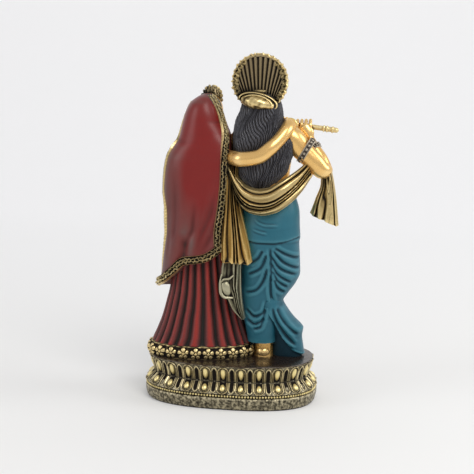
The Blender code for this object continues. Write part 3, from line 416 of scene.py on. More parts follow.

# Paints: name, slot, colour, raised colour for rubbed paint and painted highlights, and the dark
# colour of the wash and the painted shade. A word names a colour of the panel. Then roughness,
# metallic and specular, and depth of the wash and painted shade, patches, specks, grain and fineness
PAINTS = (
    ("skirt red", "red_cloth", "skirt_red", (0.30, 0.024, 0.016), "wash", (0.36, 0.0, 0.35), (1.15, 0.2)),
    ("veil red", "red_cloth", "veil_red", "dusty_red", "wash", (0.33, 0.0, 0.35), (0.9, 0.15, 0.15)),
    ("dhoti teal", "blue_cloth", "teal", (0.035, 0.165, 0.215), (0.004, 0.022, 0.036),
     (0.42, 0.0, 0.35), (0.9, 0.2, 0.2)),
    ("gold skin", "gold_skin", "skin_gold", (0.93, 0.64, 0.27), (0.13, 0.048, 0.012),
     (0.27, 0.8, 0.5), (0.8, 0.08, 0.06, 0.03)),
    ("antique gold", "antique_gold", "antique_gold", (0.86, 0.68, 0.33), "wash",
     (0.31, 0.85, 0.5), (1.4, 0.35)),
    ("crown gold", "antique_gold", (0.22, 0.165, 0.085), (0.46, 0.36, 0.20), "wash",
     (0.34, 0.7, 0.5), (1.35, 0.3)),
    ("rim gold", "antique_gold", (0.36, 0.26, 0.10), (0.85, 0.68, 0.34), "wash",
     (0.36, 0.7, 0.5), (1.5, 0.5, 0.6)),
    ("filigree gold", "antique_gold", (0.50, 0.37, 0.15), (0.90, 0.76, 0.43), "wash",
     (0.34, 0.7, 0.5), (0.6, 0.3, 0.5)),
    ("lotus gold", "antique_gold", (0.16, 0.125, 0.065), (0.78, 0.66, 0.38), "wash",
     (0.34, 0.8, 0.5), (1.4, 0.2, 0.6)),
    ("plinth bronze", "antique_gold", (0.15, 0.13, 0.08), (0.56, 0.49, 0.32), "wash",
     (0.38, 0.65, 0.5), (1.2, 0.4, 2.8, 0.4, 560.0)),
    ("plate brown", "antique_gold", (0.020, 0.013, 0.010), (0.06, 0.038, 0.02), "wash",
     (0.26, 0.2, 0.5), (0.8, 0.4)),
    ("boss gold", "antique_gold", (0.62, 0.45, 0.13), (0.93, 0.77, 0.36), "wash",
     (0.30, 0.75, 0.5), (1.2, 0.25)),
    ("hair", "dark_hair", "hair_black", (0.085, 0.085, 0.10), "wash", (0.38, 0.0, 0.5), (1.0, 0.2)),
    ("scarf gold", "antique_gold", (0.36, 0.21, 0.05), (0.82, 0.57, 0.22), "wash",
     (0.31, 0.85, 0.5), (1.4, 0.3)),
    ("pale scarf", "antique_gold", (0.13, 0.12, 0.07), (0.46, 0.43, 0.29), "wash",
     (0.34, 0.75, 0.5), (1.4, 0.5)),
    ("dark silver", "antique_gold", (0.085, 0.07, 0.055), (0.50, 0.44, 0.34), "wash",
     (0.34, 0.75, 0.5), (1.3, 0.35)),
    ("eye white", "painted_resin", (0.80, 0.76, 0.68), (0.85, 0.82, 0.76), "wash",
     (0.35, 0.0, 0.5), (0.3, 0.05, 0.0, 0.0)),
    ("lip red", "painted_resin", (0.42, 0.06, 0.04), (0.55, 0.12, 0.08), "wash",
     (0.35, 0.0, 0.5), (0.3, 0.05, 0.0, 0.0)),
    ("lotus pink", "painted_resin", (0.62, 0.20, 0.24), (0.80, 0.48, 0.46), "wash",
     (0.40, 0.0, 0.5), (0.8, 0.2)),
)

# Studio: floor by the object, painted darker there as painted shade, and far from it, and the light of the
# room
FLOOR_NEAR = (0.69, 0.69, 0.68)
FLOOR_FAR = (0.84, 0.84, 0.84)
ROOM_LIGHT = (0.95, 0.95, 0.98, 1.0)
ROOM_STRENGTH = 0.58
AIM_HEIGHT = 0.13


class StatueSizes(bpy.types.PropertyGroup):
    """Sizes of the carving that repeats"""

    petals: IntProperty(name="Lotus petals", description="Petals in each row of the plinth", default=24)
    petal_width: FloatProperty(
        name="Petal width", description="Width of one broad petal", default=9.4 * MM, unit="LENGTH"
    )
    petal_relief: FloatProperty(
        name="Petal relief", description="Height of a petal's rim", default=1.0 * MM, unit="LENGTH"
    )
    bead_width: FloatProperty(
        name="Bead width", description="Width of one bead on the plinth", default=1.75 * MM, unit="LENGTH"
    )
    bead_pitch: FloatProperty(
        name="Bead pitch", description="Distance from bead to bead", default=2.25 * MM, unit="LENGTH"
    )
    pleats: IntProperty(name="Skirt pleats", description="Pleats around the skirt", default=24)
    pleat_depth: FloatProperty(
        name="Pleat depth", description="Depth of a pleat's groove", default=2.1 * MM, unit="LENGTH"
    )
    fold_depth: FloatProperty(
        name="Fold depth", description="Depth of the dhoti's folds", default=1.5 * MM, unit="LENGTH"
    )
    lock_depth: FloatProperty(
        name="Lock depth", description="Depth between locks of hair", default=1.1 * MM, unit="LENGTH"
    )
    braid_width: FloatProperty(
        name="Braid width", description="Width of the veil's braid", default=6.5 * MM, unit="LENGTH"
    )
    rosette_width: FloatProperty(
        name="Rosette width", description="Width of a flower on the hem", default=8.8 * MM, unit="LENGTH"
    )


class StatuePaints(bpy.types.PropertyGroup):
    """Colours of the paint"""

    skirt_red: FloatVectorProperty(
        name="Skirt red", description="Red of the skirt", subtype="COLOR", default=(0.115, 0.026, 0.024)
    )
    veil_red: FloatVectorProperty(
        name="Veil red", description="Red of the veil", subtype="COLOR", default=(0.19, 0.010, 0.008)
    )
    dusty_red: FloatVectorProperty(
        name="Dusty red", description="Rubbed red on raised cloth", subtype="COLOR",
        default=(0.125, 0.062, 0.055),
    )
    teal: FloatVectorProperty(
        name="Teal", description="Blue of the dhoti", subtype="COLOR", default=(0.012, 0.105, 0.150)
    )
    skin_gold: FloatVectorProperty(
        name="Skin gold", description="Gold of the skin", subtype="COLOR", default=(0.80, 0.46, 0.13)
    )
    antique_gold: FloatVectorProperty(
        name="Antique gold", description="Gold of scarf, crown and lotus", subtype="COLOR",
        default=(0.40, 0.285, 0.115),
    )
    hair_black: FloatVectorProperty(
        name="Hair black", description="Charcoal of the hair", subtype="COLOR",
        default=(0.007, 0.007, 0.010),
    )
    # Dark colour of the wash, also used for painted shade
    wash: FloatVectorProperty(
        name="Wash", description="Dark wash in the recesses", subtype="COLOR", default=(0.012, 0.009, 0.007)
    )


class StudioPlan(bpy.types.PropertyGroup):
    """Camera and lights"""

    yaw: FloatProperty(name="Yaw", description="Turn from straight behind", default=9.0)
    pitch: FloatProperty(name="Pitch", description="Angle of looking down", default=10.0)
    roll: FloatProperty(name="Roll", description="Tilt of the camera", default=1.2)
    distance: FloatProperty(name="Distance", description="Camera distance", default=1.15, unit="LENGTH")
    field: FloatProperty(
        name="Field width", description="Width that the frame covers", default=0.3699, unit="LENGTH"
    )
    target_height: FloatProperty(
        name="Target height", description="Height looked at", default=0.1269, unit="LENGTH"
    )
    shift_aside: FloatProperty(
        name="Shift", description="Camera's step to its right", default=0.00203, unit="LENGTH"
    )


def smooth(knots, values, at):
    """Values on a curve through the knots that is smooth and never overshoots between them."""
    knots = np.asarray(knots, float)
    values = np.asarray(values, float).reshape(len(knots), -1)
    steps = np.diff(knots)
    slopes = np.diff(values, axis=0) / steps[:, None]
    tangents = np.zeros_like(values)
    tangents[0] = slopes[0]
    tangents[-1] = slopes[-1]
    product = slopes[:-1] * slopes[1:]
    total = slopes[:-1] + slopes[1:]
    safe = np.where(np.abs(total) < 1e-12, 1.0, total)
    tangents[1:-1] = np.where(product > 0, 2 * product / safe, 0.0)
    shape = np.shape(at)
    at = np.clip(np.ravel(at), knots[0], knots[-1])
    index = np.clip(np.searchsorted(knots, at, side="right") - 1, 0, len(steps) - 1)
    step = steps[index][:, None]
    t = ((at - knots[index]) / steps[index])[:, None]
    result = (
        values[index] * (1 + 2 * t) * (1 - t) ** 2
        + values[index + 1] * t * t * (3 - 2 * t)
        + tangents[index] * step * t * (1 - t) ** 2
        - tangents[index + 1] * step * t * t * (1 - t)
    )
    return result.reshape(shape + (values.shape[1],))


def along(points, count):
    """Evenly spread points on a smooth curve through a few points."""
    points = np.asarray(points, float)
    gaps = np.linalg.norm(np.diff(points[:, :3], axis=0), axis=1)
    knots = np.concatenate(([0.0], np.cumsum(gaps)))
    return smooth(knots, points, np.linspace(0, knots[-1], count))


def signed_power(value, power):
    return np.sign(value) * np.abs(value) ** power


def ring_angles(count):
    return np.arange(count) * TURN / count


def upright(track, heights, angles, corner=None):
    """Rings of an upright form. Angle 0 looks to the back, 90 degrees to the left.

    A corner table gives the right side its own roundness: heights and powers.
    """
    table = np.asarray(sorted(track), float)
    heights = np.broadcast_to(heights, (heights.shape[0], len(angles)))
    left, right, back, front, middle, power = np.moveaxis(
        smooth(table[:, 0], table[:, 1:], heights), -1, 0
    )
    sine = np.sin(angles)[None, :]
    cosine = np.cos(angles)[None, :]
    x = (left + right) / 2 + (left - right) / 2 * signed_power(sine, 2 / power)
    depth = np.where(cosine > 0, back - middle, middle - front)
    share = signed_power(cosine, 2 / power)
    if corner is not None:
        square = np.asarray(corner, float)
        square = np.interp(heights, square[:, 0], square[:, 1])
        aside = np.abs(sine) ** (2 / power)
        boxed = np.sign(cosine) * np.maximum(1 - aside ** square, 0) ** (1 / square)
        share = np.where(sine < 0, boxed, share)
    return np.stack((x, middle + depth * share, heights), axis=-1)


def turned(grid, degrees, centre):
    """The grid turned about a vertical line, from +X towards +Y."""
    angle = math.radians(degrees)
    x = grid[..., 0] - centre[0]
    y = grid[..., 1] - centre[1]
    result = grid.copy()
    result[..., 0] = centre[0] + x * math.cos(angle) - y * math.sin(angle)
    result[..., 1] = centre[1] + x * math.sin(angle) + y * math.cos(angle)
    return result


def surface_normals(grid):
    """Outward normals of a closed grid of rings."""
    around = np.roll(grid, -1, axis=1) - np.roll(grid, 1, axis=1)
    upward = np.gradient(grid, axis=0)
    normal = np.cross(around, upward)
    normal /= np.linalg.norm(normal, axis=-1, keepdims=True) + 1e-9
    middle = grid.mean(axis=(0, 1))
    if np.sum(normal * (grid - middle)) < 0:
        normal = -normal
    return normal


def raised(grid, relief):
    """The grid with each point moved along its normal."""
    return grid + surface_normals(grid) * relief[..., None]


def line_distance(x, z, stroke):
    """Distance of each point to a smooth stroke, and the share of the way along it."""
    line = along(stroke, 36)
    best = np.full(x.shape, 1e9)
    share = np.zeros(x.shape)
    for index in range(len(line) - 1):
        start = line[index]
        step = line[index + 1] - start
        t = np.clip(((x - start[0]) * step[0] + (z - start[1]) * step[1]) / (step @ step), 0, 1)
        gap = np.hypot(x - start[0] - t * step[0], z - start[1] - t * step[1])
        nearer = gap < best
        best = np.where(nearer, gap, best)
        share = np.where(nearer, (index + t) / (len(line) - 1), share)
    return best, share


def folds(grid, strokes, depth, width, fade=0.15):
    """Relief of carved folds on the back of a form, the dark of their grooves and a painted highlight on
    the rolls beside them.

    A groove has a steep side and a soft roll beside it.
    """
    x = grid[..., 0]
    z = grid[..., 2]
    behind = np.clip(grid[..., 1] / 5.0, 0, 1)
    relief = np.zeros(x.shape)
    stain = np.zeros(x.shape)
    light = np.zeros(x.shape)
    for stroke in strokes:
        gap, share = line_distance(x, z, stroke)
        ends = np.clip(share / fade, 0, 1) * np.clip((1 - share) / fade, 0, 1)
        ends = ends * ends * (3 - 2 * ends)
        groove = -np.exp(-((gap / width) ** 2))
        roll = np.exp(-(((gap - 2.2 * width) / (1.1 * width)) ** 2))
        relief += depth * (groove + 0.32 * roll) * ends
        stain = np.maximum(stain, np.exp(-((gap / (0.75 * width)) ** 2)) * ends)
        light = np.maximum(light, roll * ends)
    return relief * behind, stain * behind, light * behind


def ripple(x, y, z, seed, size):
    """Smooth unevenness made of a few crossed waves with a fixed seed."""
    chance = np.random.default_rng(seed)
    total = 0.0
    for _ in range(6):
        direction = chance.normal(size=3)
        direction /= np.linalg.norm(direction) * size * chance.uniform(0.6, 1.6)
        phase = chance.uniform(0, TURN)
        total = total + np.sin(x * direction[0] + y * direction[1] + z * direction[2] + phase)
    return total / 6


def tube(path, sides, rows, rounded=True):
    """Rings square to a smooth path, with rounded ends. Path points hold half width and half depth."""
    line = along(path, rows)
    centre = line[:, :3]
    reach = line[:, 3:5]
    forward = np.gradient(centre, axis=0)
    forward /= np.linalg.norm(forward, axis=1, keepdims=True)
    if rounded:
        swing = np.radians(np.linspace(80, 12, 6))
        out = np.sin(swing)[:, None] * reach[0].mean()
        first = centre[0] - forward[0] * out
        start = reach[0] * np.cos(swing)[:, None]
        out = np.sin(swing[::-1])[:, None] * reach[-1].mean()
        last = centre[-1] + forward[-1] * out
        end = reach[-1] * np.cos(swing[::-1])[:, None]
        centre = np.concatenate((first, centre, last))
        reach = np.concatenate((start, reach, end))
        forward = np.concatenate((np.repeat(forward[:1], 6, 0), forward, np.repeat(forward[-1:], 6, 0)))
    deep = np.array([0.0, 1.0, 0.0])
    angles = ring_angles(sides)
    rings = []
    for point, size, ahead in zip(centre, reach, forward):
        side = np.cross(ahead, deep)
        if np.linalg.norm(side) < 0.3:
            side = np.array([1.0, 0.0, 0.0])
        side -= ahead * np.dot(side, ahead)
        side /= np.linalg.norm(side)
        deep = np.cross(side, ahead)
        ring = (
            point
            + np.cos(angles)[:, None] * size[0] * side
            + np.sin(angles)[:, None] * size[1] * deep
        )
        rings.append(ring)
    return np.array(rings)


def ribbon(edge_a, edge_b, rows, thickness, bulge, pleats, pleat_depth, seed, ragged, roll):
    """A pleated strip of cloth between two edges, as a closed band, and its tone.

    The tone is above 0 in a groove and below 0 on a ridge.
    """
    first = along(edge_a, rows)
    second = along(edge_b, rows)
    columns = pleats * 18 + 1
    across = np.linspace(0, 1, columns)[None, :]
    down = np.linspace(0, 1, rows)[:, None]
    shift = 0.38 * np.sin(across * 7.0 + seed) + 0.14 * np.sin(across * 17.0 + 2 * seed)
    wander = 0.22 * np.sin(3.1 * down + seed + across * 5) + 0.12 * np.sin(8.0 * down + across * 11)
    phase = pleats * across + (shift + wander) * np.clip(np.minimum(across, 1 - across) * 6, 0, 1)
    wave = np.abs(np.sin(math.pi * phase)) ** 1.1
    share = np.round(phase) * 2.4 + seed
    strength = 0.85 + 0.30 * np.sin(share) + 0.20 * np.sin(down * 4 + share)
    edges = np.clip(np.minimum(across, 1 - across) * pleats * 2.2, 0, 1)
    relief = (wave - 0.5) * pleat_depth * strength * edges + roll * bump(across, 0, 0.91, 0, 0.06, 1)
    tone = np.clip(1 - wave * 1.9, 0, 1) * edges - np.clip(wave - 0.7, 0, 1) * 1.6
    arch = np.sqrt(np.maximum(1 - (2 * across - 1) ** 2, 0)) * bulge
    span = second - first
    face = first[:, None, :] + span[:, None, :] * across[..., None]
    out = np.array([0.0, 1.0, 0.0])
    face = face + out * (arch + relief)[..., None]
    lower_edge = np.clip((down - 0.9) / 0.1, 0, 1) * ragged * (wave - 0.5)
    face[..., 2] -= lower_edge
    back_across = np.linspace(0.97, 0.03, 17)[None, :]
    behind = first[:, None, :] + span[:, None, :] * back_across[..., None]
    behind = behind - out * thickness
    plain = np.zeros((rows, 17))
    return np.concatenate((face, behind), axis=1), np.concatenate((tone + 0 * down, plain), axis=1)


def ball(centre, reach, sides, rows):
    """Rings of an ellipsoid from its foot to its top."""
    tilt = np.linspace(-math.pi / 2, math.pi / 2, rows + 2)[1:-1]
    angles = ring_angles(sides)
    x = centre[0] + reach[0] * np.cos(tilt)[:, None] * np.sin(angles)[None, :]
    y = centre[1] + reach[1] * np.cos(tilt)[:, None] * np.cos(angles)[None, :]
    z = centre[2] + reach[2] * np.sin(tilt)[:, None] + 0 * x
    return np.stack((x, y, z), axis=-1)


def tilted(grid, degrees, centre):
    """The grid turned in the plane of X and Z about a point."""
    angle = math.radians(degrees)
    x = grid[..., 0] - centre[0]
    z = grid[..., 2] - centre[2]
    result = grid.copy()
    result[..., 0] = centre[0] + x * math.cos(angle) - z * math.sin(angle)
    result[..., 2] = centre[2] + x * math.sin(angle) + z * math.cos(angle)
    return result


def bump(x, z, at_x, at_z, wide, tall):
    return np.exp(-(((x - at_x) / wide) ** 2) - ((z - at_z) / tall) ** 2)


def face_relief(x, z):
    """Height of brow, eyes, nose, lips, chin and cheeks over a round head one unit in reach."""
    side = np.abs(x)
    return (
        0.21 * bump(x, z, 0, -0.12, 0.12, 0.13)
        + 0.12 * bump(x, z, 0, 0.06, 0.09, 0.22)
        + 0.05 * bump(side, z, 0.12, -0.17, 0.06, 0.06)
        - 0.13 * bump(side, z, 0.34, 0.09, 0.17, 0.10)
        + 0.075 * bump(side, z, 0.34, 0.07, 0.12, 0.055)
        - 0.030 * bump(side, z, 0.34, 0.055, 0.13, 0.014)
        + 0.045 * bump(side, z, 0.33, 0.235, 0.20, 0.040)
        + 0.055 * bump(x, z, 0, -0.375, 0.17, 0.040)
        + 0.065 * bump(x, z, 0, -0.465, 0.15, 0.050)
        - 0.045 * bump(x, z, 0, -0.418, 0.20, 0.014)
        - 0.040 * bump(x, z, 0, -0.56, 0.20, 0.050)
        + 0.090 * bump(x, z, 0, -0.74, 0.22, 0.13)
        + 0.040 * bump(side, z, 0.50, -0.22, 0.22, 0.20)
    )


def set_on_head(unit, head):
    """Points of the round head of one unit, shaped, turned and carried to their place."""
    centre, reach, turn = head
    points = np.array(unit, float)
    points[..., 0] *= 1 - 0.24 * np.clip(-points[..., 2], 0, 1) ** 1.5
    points = turned(points * np.asarray(reach, float), -turn, (0, 0))
    return points + np.asarray(centre, float)


def head_grid(head):
    """A calm, plain head, its face towards -Y before its turn."""
    grid = ball((0, 0, 0), (1, 1, 1), 140, 96)
    front = np.clip(-grid[..., 1] * 2, 0, 1)
    grid[..., 1] -= face_relief(grid[..., 0], grid[..., 2]) * front
    return set_on_head(grid, head)


def on_face(head, marks, lift):
    """Places on a face for marks given as x and z on the round head of one unit."""
    marks = np.asarray(marks, float)
    x = marks[:, 0]
    z = marks[:, 1]
    y = -np.sqrt(np.maximum(1 - x * x - z * z, 0.01)) - face_relief(x, z) - lift
    return set_on_head(np.stack((x, y, z), axis=-1), head)


def wrap(name, grid):
    """A closed mesh from rings of points, with a fan over each end."""
    rows, columns, _ = grid.shape
    points = np.concatenate((grid.reshape(-1, 3), grid[:1].mean(axis=1), grid[-1:].mean(axis=1)))
    index = np.arange(rows * columns).reshape(rows, columns)
    after = np.roll(index, -1, axis=1)
    quads = np.stack((index[:-1], after[:-1], after[1:], index[1:]), axis=-1).reshape(-1, 4)
    foot = rows * columns
    low = np.stack((np.full(columns, foot), after[0], index[0]), axis=-1)
    high = np.stack((np.full(columns, foot + 1), index[-1], after[-1]), axis=-1)
    mesh = bpy.data.meshes.new(name)
    mesh.from_pydata((points * MM).tolist(), [], quads.tolist() + low.tolist() + high.tolist())
    if mesh_volume(mesh) < 0:
        mesh.flip_normals()
    return mesh


def marked(mesh, **marks):
    """The mesh from wrap with a value at each point of its grid for each named mark."""
    for name, grid in marks.items():
        values = np.concatenate((np.ravel(grid), (0.0, 0.0))).astype(np.float32)
        mesh.attributes.new(name, "FLOAT", "POINT").data.foreach_set("value", values)
    return mesh


def mesh_volume(mesh):
    mesh.calc_loop_triangles()
    corners = np.empty(len(mesh.loop_triangles) * 3, dtype=np.int32)
    mesh.loop_triangles.foreach_get("vertices", corners)
    places = mesh_points(mesh)[corners.reshape(-1, 3)]
    return float(np.einsum("ij,ij->i", places[:, 0], np.cross(places[:, 1], places[:, 2])).sum() / 6)


def mesh_points(mesh):
    points = np.empty(len(mesh.vertices) * 3)
    mesh.vertices.foreach_get("co", points)
    return points.reshape(-1, 3)


def pad(name, front, depth, **marks):
    """A closed plaque from an open sheet of points, with a flat back behind it and named marks."""
    rows, columns, _ = front.shape
    back = front.copy()
    back[..., 1] = front[..., 1].min() - depth
    index = np.arange(rows * columns).reshape(rows, columns)
    points = np.concatenate((front.reshape(-1, 3), back.reshape(-1, 3)))
    quads = np.stack((index[:-1, :-1], index[:-1, 1:], index[1:, 1:], index[1:, :-1]), axis=-1)
    border = np.concatenate((index[0, :-1], index[:-1, -1], index[-1, :0:-1], index[:0:-1, 0]))
    following = np.roll(border, -1)
    shift = rows * columns
    rim = np.stack((following, border, border + shift, following + shift), axis=-1)
    faces = quads.reshape(-1, 4).tolist() + rim.tolist() + [(border[::-1] + shift).tolist()]
    mesh = bpy.data.meshes.new(name)
    mesh.from_pydata((points * MM).tolist(), [], faces)
    for mark, grid in marks.items():
        values = np.tile(np.ravel(grid), 2).astype(np.float32)
        mesh.attributes.new(mark, "FLOAT", "POINT").data.foreach_set("value", values)
    if mesh_volume(mesh) < 0:
        mesh.flip_normals()
    return mesh


def join_meshes(name, meshes):
    """One mesh that holds several closed meshes."""
    points = []
    faces = []
    for mesh in meshes:
        shift = len(points)
        points.extend(tuple(vertex.co) for vertex in mesh.vertices)
        faces.extend([shift + corner for corner in face.vertices] for face in mesh.polygons)
        bpy.data.meshes.remove(mesh)
    whole = bpy.data.meshes.new(name)
    whole.from_pydata(points, [], faces)
    return whole


PAINTED = []


def add_piece(name, mesh, paint_name):
    """A finished piece of the casting: smooth, painted, and standing for the solid under it."""
    mesh.shade_smooth()
    mesh.set_sharp_from_angle(angle=math.radians(50))
    mesh.materials.clear()
    mesh.materials.append(bpy.data.materials[paint_name])
    piece = bpy.data.objects.new(name, mesh)
    bpy.context.scene.collection.objects.link(piece)
    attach(piece, "root")
    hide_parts("statue")
    PAINTED.append(piece)
    return piece


def add_form(name, grid, paint_name):
    """A piece wrapped around rings of points."""
    return add_piece(name, wrap(name, grid), paint_name)


def attribute_node(nodes, name):
    node = nodes.new("ShaderNodeAttribute")
    node.attribute_name = name
    return node


def mix_colour(tree, factor, first, second):
    """A mix of two colours. Each is a plain colour or a socket."""
    node = tree.nodes.new("ShaderNodeMix")
    node.data_type = "RGBA"
    tree.links.new(factor, node.inputs["Factor"])
    for value, socket in ((first, node.inputs[6]), (second, node.inputs[7])):
        if isinstance(value, bpy.types.NodeSocket):
            tree.links.new(value, socket)
        else:
            socket.default_value = (*value, 1.0)
    return node.outputs[2]


def math_node(tree, operation, first, second, clamp=False):
    node = tree.nodes.new("ShaderNodeMath")
    node.operation = operation
    node.use_clamp = clamp
    for value, socket in ((first, node.inputs[0]), (second, node.inputs[1])):
        if isinstance(value, bpy.types.NodeSocket):
            tree.links.new(value, socket)
        else:
            socket.default_value = value
    return node.outputs[0]


def noise(tree, scale, detail=3.0):
    node = tree.nodes.new("ShaderNodeTexNoise")
    node.inputs["Scale"].default_value = scale
    node.inputs["Detail"].default_value = detail
    place = tree.nodes.new("ShaderNodeTexCoord")
    tree.links.new(place.outputs["Object"], node.inputs["Vector"])
    return node.outputs["Fac"]


def paint_finish(name, colours, surface, depth=1.0, patchy=0.35, specks=0.35, grain=0.10, fineness=900.0):
    """Paint with a dark wash and painted shade in the recesses, rubbed paint and painted highlights on the
    ridges, over the grain of cast resin.
    """
    colour, raised_colour, wash = colours
    roughness, metallic, specular = surface
    paint = bpy.data.materials.new(name)
    paint.use_nodes = True
    tree = paint.node_tree
    shader = tree.nodes["Principled BSDF"]
    shader.inputs["Metallic"].default_value = metallic
    shader.inputs["Specular IOR Level"].default_value = specular
    recess = attribute_node(tree.nodes, "recess").outputs["Fac"]
    ridge = attribute_node(tree.nodes, "ridge").outputs["Fac"]
    broad = noise(tree, 90.0)
    fine = noise(tree, fineness, 4.0)
    uneven = math_node(tree, "MULTIPLY", math_node(tree, "SUBTRACT", broad, 0.5), patchy)
    speckle = math_node(tree, "MULTIPLY", math_node(tree, "SUBTRACT", fine, 0.5), specks)
    # Dark from the recess mark: real wash together with painted shade
    dirt_and_shade = math_node(tree, "MULTIPLY", recess, depth)
    dirt_and_shade = math_node(tree, "ADD", dirt_and_shade, uneven)
    dirt_and_shade = math_node(tree, "ADD", dirt_and_shade, speckle, True)
    # Light from the ridge mark: rubbed paint together with painted highlights
    rubbed = math_node(tree, "SUBTRACT", ridge, speckle, True)
    body = mix_colour(tree, rubbed, colour, raised_colour)
    final = mix_colour(tree, dirt_and_shade, body, wash)
    tree.links.new(final, shader.inputs["Base Color"])
    rough = math_node(tree, "MULTIPLY", dirt_and_shade, 0.35)
    rough = math_node(tree, "ADD", rough, roughness)
    rough = math_node(tree, "ADD", rough, math_node(tree, "MULTIPLY", uneven, 0.3), True)
    tree.links.new(rough, shader.inputs["Roughness"])
    relief = tree.nodes.new("ShaderNodeBump")
    relief.inputs["Strength"].default_value = grain
    relief.inputs["Distance"].default_value = 0.3 * MM
    tree.links.new(fine, relief.inputs["Height"])
    tree.links.new(relief.outputs["Normal"], shader.inputs["Normal"])
    return paint


def paints():
    """Every paint of the statuette, made once."""
    if PAINTS[0][0] in bpy.data.materials:
        return
    chosen = bpy.context.scene.statue_paints
    for name, _, *colours, surface, wear in PAINTS:
        picked = [tuple(getattr(chosen, part)) if isinstance(part, str) else part for part in colours]
        paint_finish(name, picked, surface, *wear)


def motif_tree():
    """Places a motif on each point of a mesh, with the point's own turn and size."""
    tree = bpy.data.node_groups.new("place motifs", "GeometryNodeTree")
    face = tree.interface
    face.new_socket("Geometry", in_out="INPUT", socket_type="NodeSocketGeometry")
    face.new_socket("Motif", in_out="INPUT", socket_type="NodeSocketObject")
    face.new_socket("Paint", in_out="INPUT", socket_type="NodeSocketMaterial")
    face.new_socket("Geometry", in_out="OUTPUT", socket_type="NodeSocketGeometry")
    add = tree.nodes.new
    link = tree.links.new
    given = add("NodeGroupInput")
    motif = add("GeometryNodeObjectInfo")
    link(given.outputs["Motif"], motif.inputs["Object"])
    marks = {}
    for name in ("turn", "size"):
        mark = add("GeometryNodeInputNamedAttribute")
        mark.data_type = "FLOAT_VECTOR"
        mark.inputs["Name"].default_value = name
        marks[name] = mark.outputs["Attribute"]
    rotate = add("FunctionNodeEulerToRotation")
    link(marks["turn"], rotate.inputs["Euler"])
    place = add("GeometryNodeInstanceOnPoints")
    link(given.outputs["Geometry"], place.inputs["Points"])
    link(motif.outputs["Geometry"], place.inputs["Instance"])
    link(rotate.outputs["Rotation"], place.inputs["Rotation"])
    link(marks["size"], place.inputs["Scale"])
    real = add("GeometryNodeRealizeInstances")
    link(place.outputs["Instances"], real.inputs["Geometry"])
    coat = add("GeometryNodeSetMaterial")
    link(real.outputs["Geometry"], coat.inputs["Geometry"])
    link(given.outputs["Paint"], coat.inputs["Material"])
    result = add("NodeGroupOutput")
    link(coat.outputs["Geometry"], result.inputs["Geometry"])
    return tree


def scatter(name, places, motif_mesh, paint_name):
    """Copies of a motif as one plain piece. A place is a point in mm, a 3 by 3 turn and a size."""
    tree = bpy.data.node_groups.get("place motifs") or motif_tree()
    points = bpy.data.meshes.new(f"{name} points")
    points.from_pydata([tuple(np.asarray(point) * MM) for point, _, _ in places], [], [])
    turn = points.attributes.new("turn", "FLOAT_VECTOR", "POINT")
    size = points.attributes.new("size", "FLOAT_VECTOR", "POINT")
    for index, (_, matrix, grow) in enumerate(places):
        turn.data[index].vector = Matrix([list(row) for row in matrix]).to_euler()
        size.data[index].vector = (grow, grow, grow) if np.isscalar(grow) else grow
    carrier = bpy.data.objects.new(f"{name} carrier", points)
    motif = bpy.data.objects.new(f"{name} motif", motif_mesh)
    for item in (carrier, motif):
        bpy.context.scene.collection.objects.link(item)
    nodes = carrier.modifiers.new("place motifs", "NODES")
    nodes.node_group = tree
    sockets = {item.name: item.identifier for item in tree.interface.items_tree if item.in_out == "INPUT"}
    nodes[sockets["Motif"]] = motif
    nodes[sockets["Paint"]] = bpy.data.materials[paint_name]
    depsgraph = bpy.context.evaluated_depsgraph_get()
    mesh = bpy.data.meshes.new_from_object(carrier.evaluated_get(depsgraph))
    carrier.modifiers.clear()
    bpy.data.objects.remove(carrier)
    bpy.data.objects.remove(motif)
    mesh.name = name
    return add_piece(name, mesh, paint_name)


def turn_to(across, outward_way, upward):
    """The turn that takes a motif's X across, its Y outwards and its Z upwards."""
    return np.stack((across, outward_way, upward), axis=-1)


def frames_on(line, normals):
    """Turns along a line on a surface: X along the line, Y away from the surface."""
    forward = np.gradient(line, axis=0)
    forward /= np.linalg.norm(forward, axis=1, keepdims=True)
    turns = []
    for ahead, normal in zip(forward, normals):
        away = normal - ahead * np.dot(normal, ahead)
        away /= np.linalg.norm(away)
        turns.append(turn_to(ahead, away, np.cross(ahead, away)))
    return turns


def spaced(line, extra, pitch):
    """Points at an even pitch along a line, with other values carried along."""
    gaps = np.linalg.norm(np.diff(line, axis=0), axis=1)
    walked = np.concatenate(([0.0], np.cumsum(gaps)))
    count = max(2, int(round(walked[-1] / pitch)))
    at = (np.arange(count) + 0.5) * walked[-1] / count
    pick = [np.interp(at, walked, line[:, axis]) for axis in range(3)]
    carry = [np.interp(at, walked, extra[:, axis]) for axis in range(3)]
    return np.stack(pick, axis=-1), np.stack(carry, axis=-1)


def oval_walk(inset):
    """The plinth's outline at an inset, and the way walked along it."""
    fine = np.linspace(0, TURN, 2881)
    x = (PLINTH_HALF_LENGTH - inset) * signed_power(np.sin(fine), 2 / PLINTH_POWER)
    y = (PLINTH_HALF_WIDTH - inset) * signed_power(np.cos(fine), 2 / PLINTH_POWER)
    walked = np.concatenate(([0.0], np.cumsum(np.hypot(np.diff(x), np.diff(y)))))
    return np.stack((x, y), axis=-1), walked, walked[-1]


def oval(count, inset, height, start=0.0):
    """Points spread evenly around the plinth, with their outward directions."""
    outline, walked, length = oval_walk(inset)
    wanted = (np.arange(count) + start) * length / count

    def place(at):
        return np.stack([np.interp(at % length, walked, outline[:, axis]) for axis in (0, 1)], axis=-1)

    run = place(wanted + 0.4) - place(wanted - 0.4)
    run /= np.linalg.norm(run, axis=1, keepdims=True)
    level = np.zeros((count, 1))
    spots = np.hstack((place(wanted), level + height))
    outward_way = np.hstack((-run[:, 1:], run[:, :1], level))
    return spots, outward_way


def upright_places(count, inset, height, start=0.0):
    """Places for upright motifs around the plinth."""
    spots, outward_way = oval(count, inset, height, start)
    up = np.array([0, 0, 1.0])
    return [(spot, turn_to(np.cross(away, up), away, up), 1.0) for spot, away in zip(spots, outward_way)]


def plinth_inset(height):
    table = np.asarray(PLINTH_PROFILE)
    return np.interp(height, table[:, 0], table[:, 1])


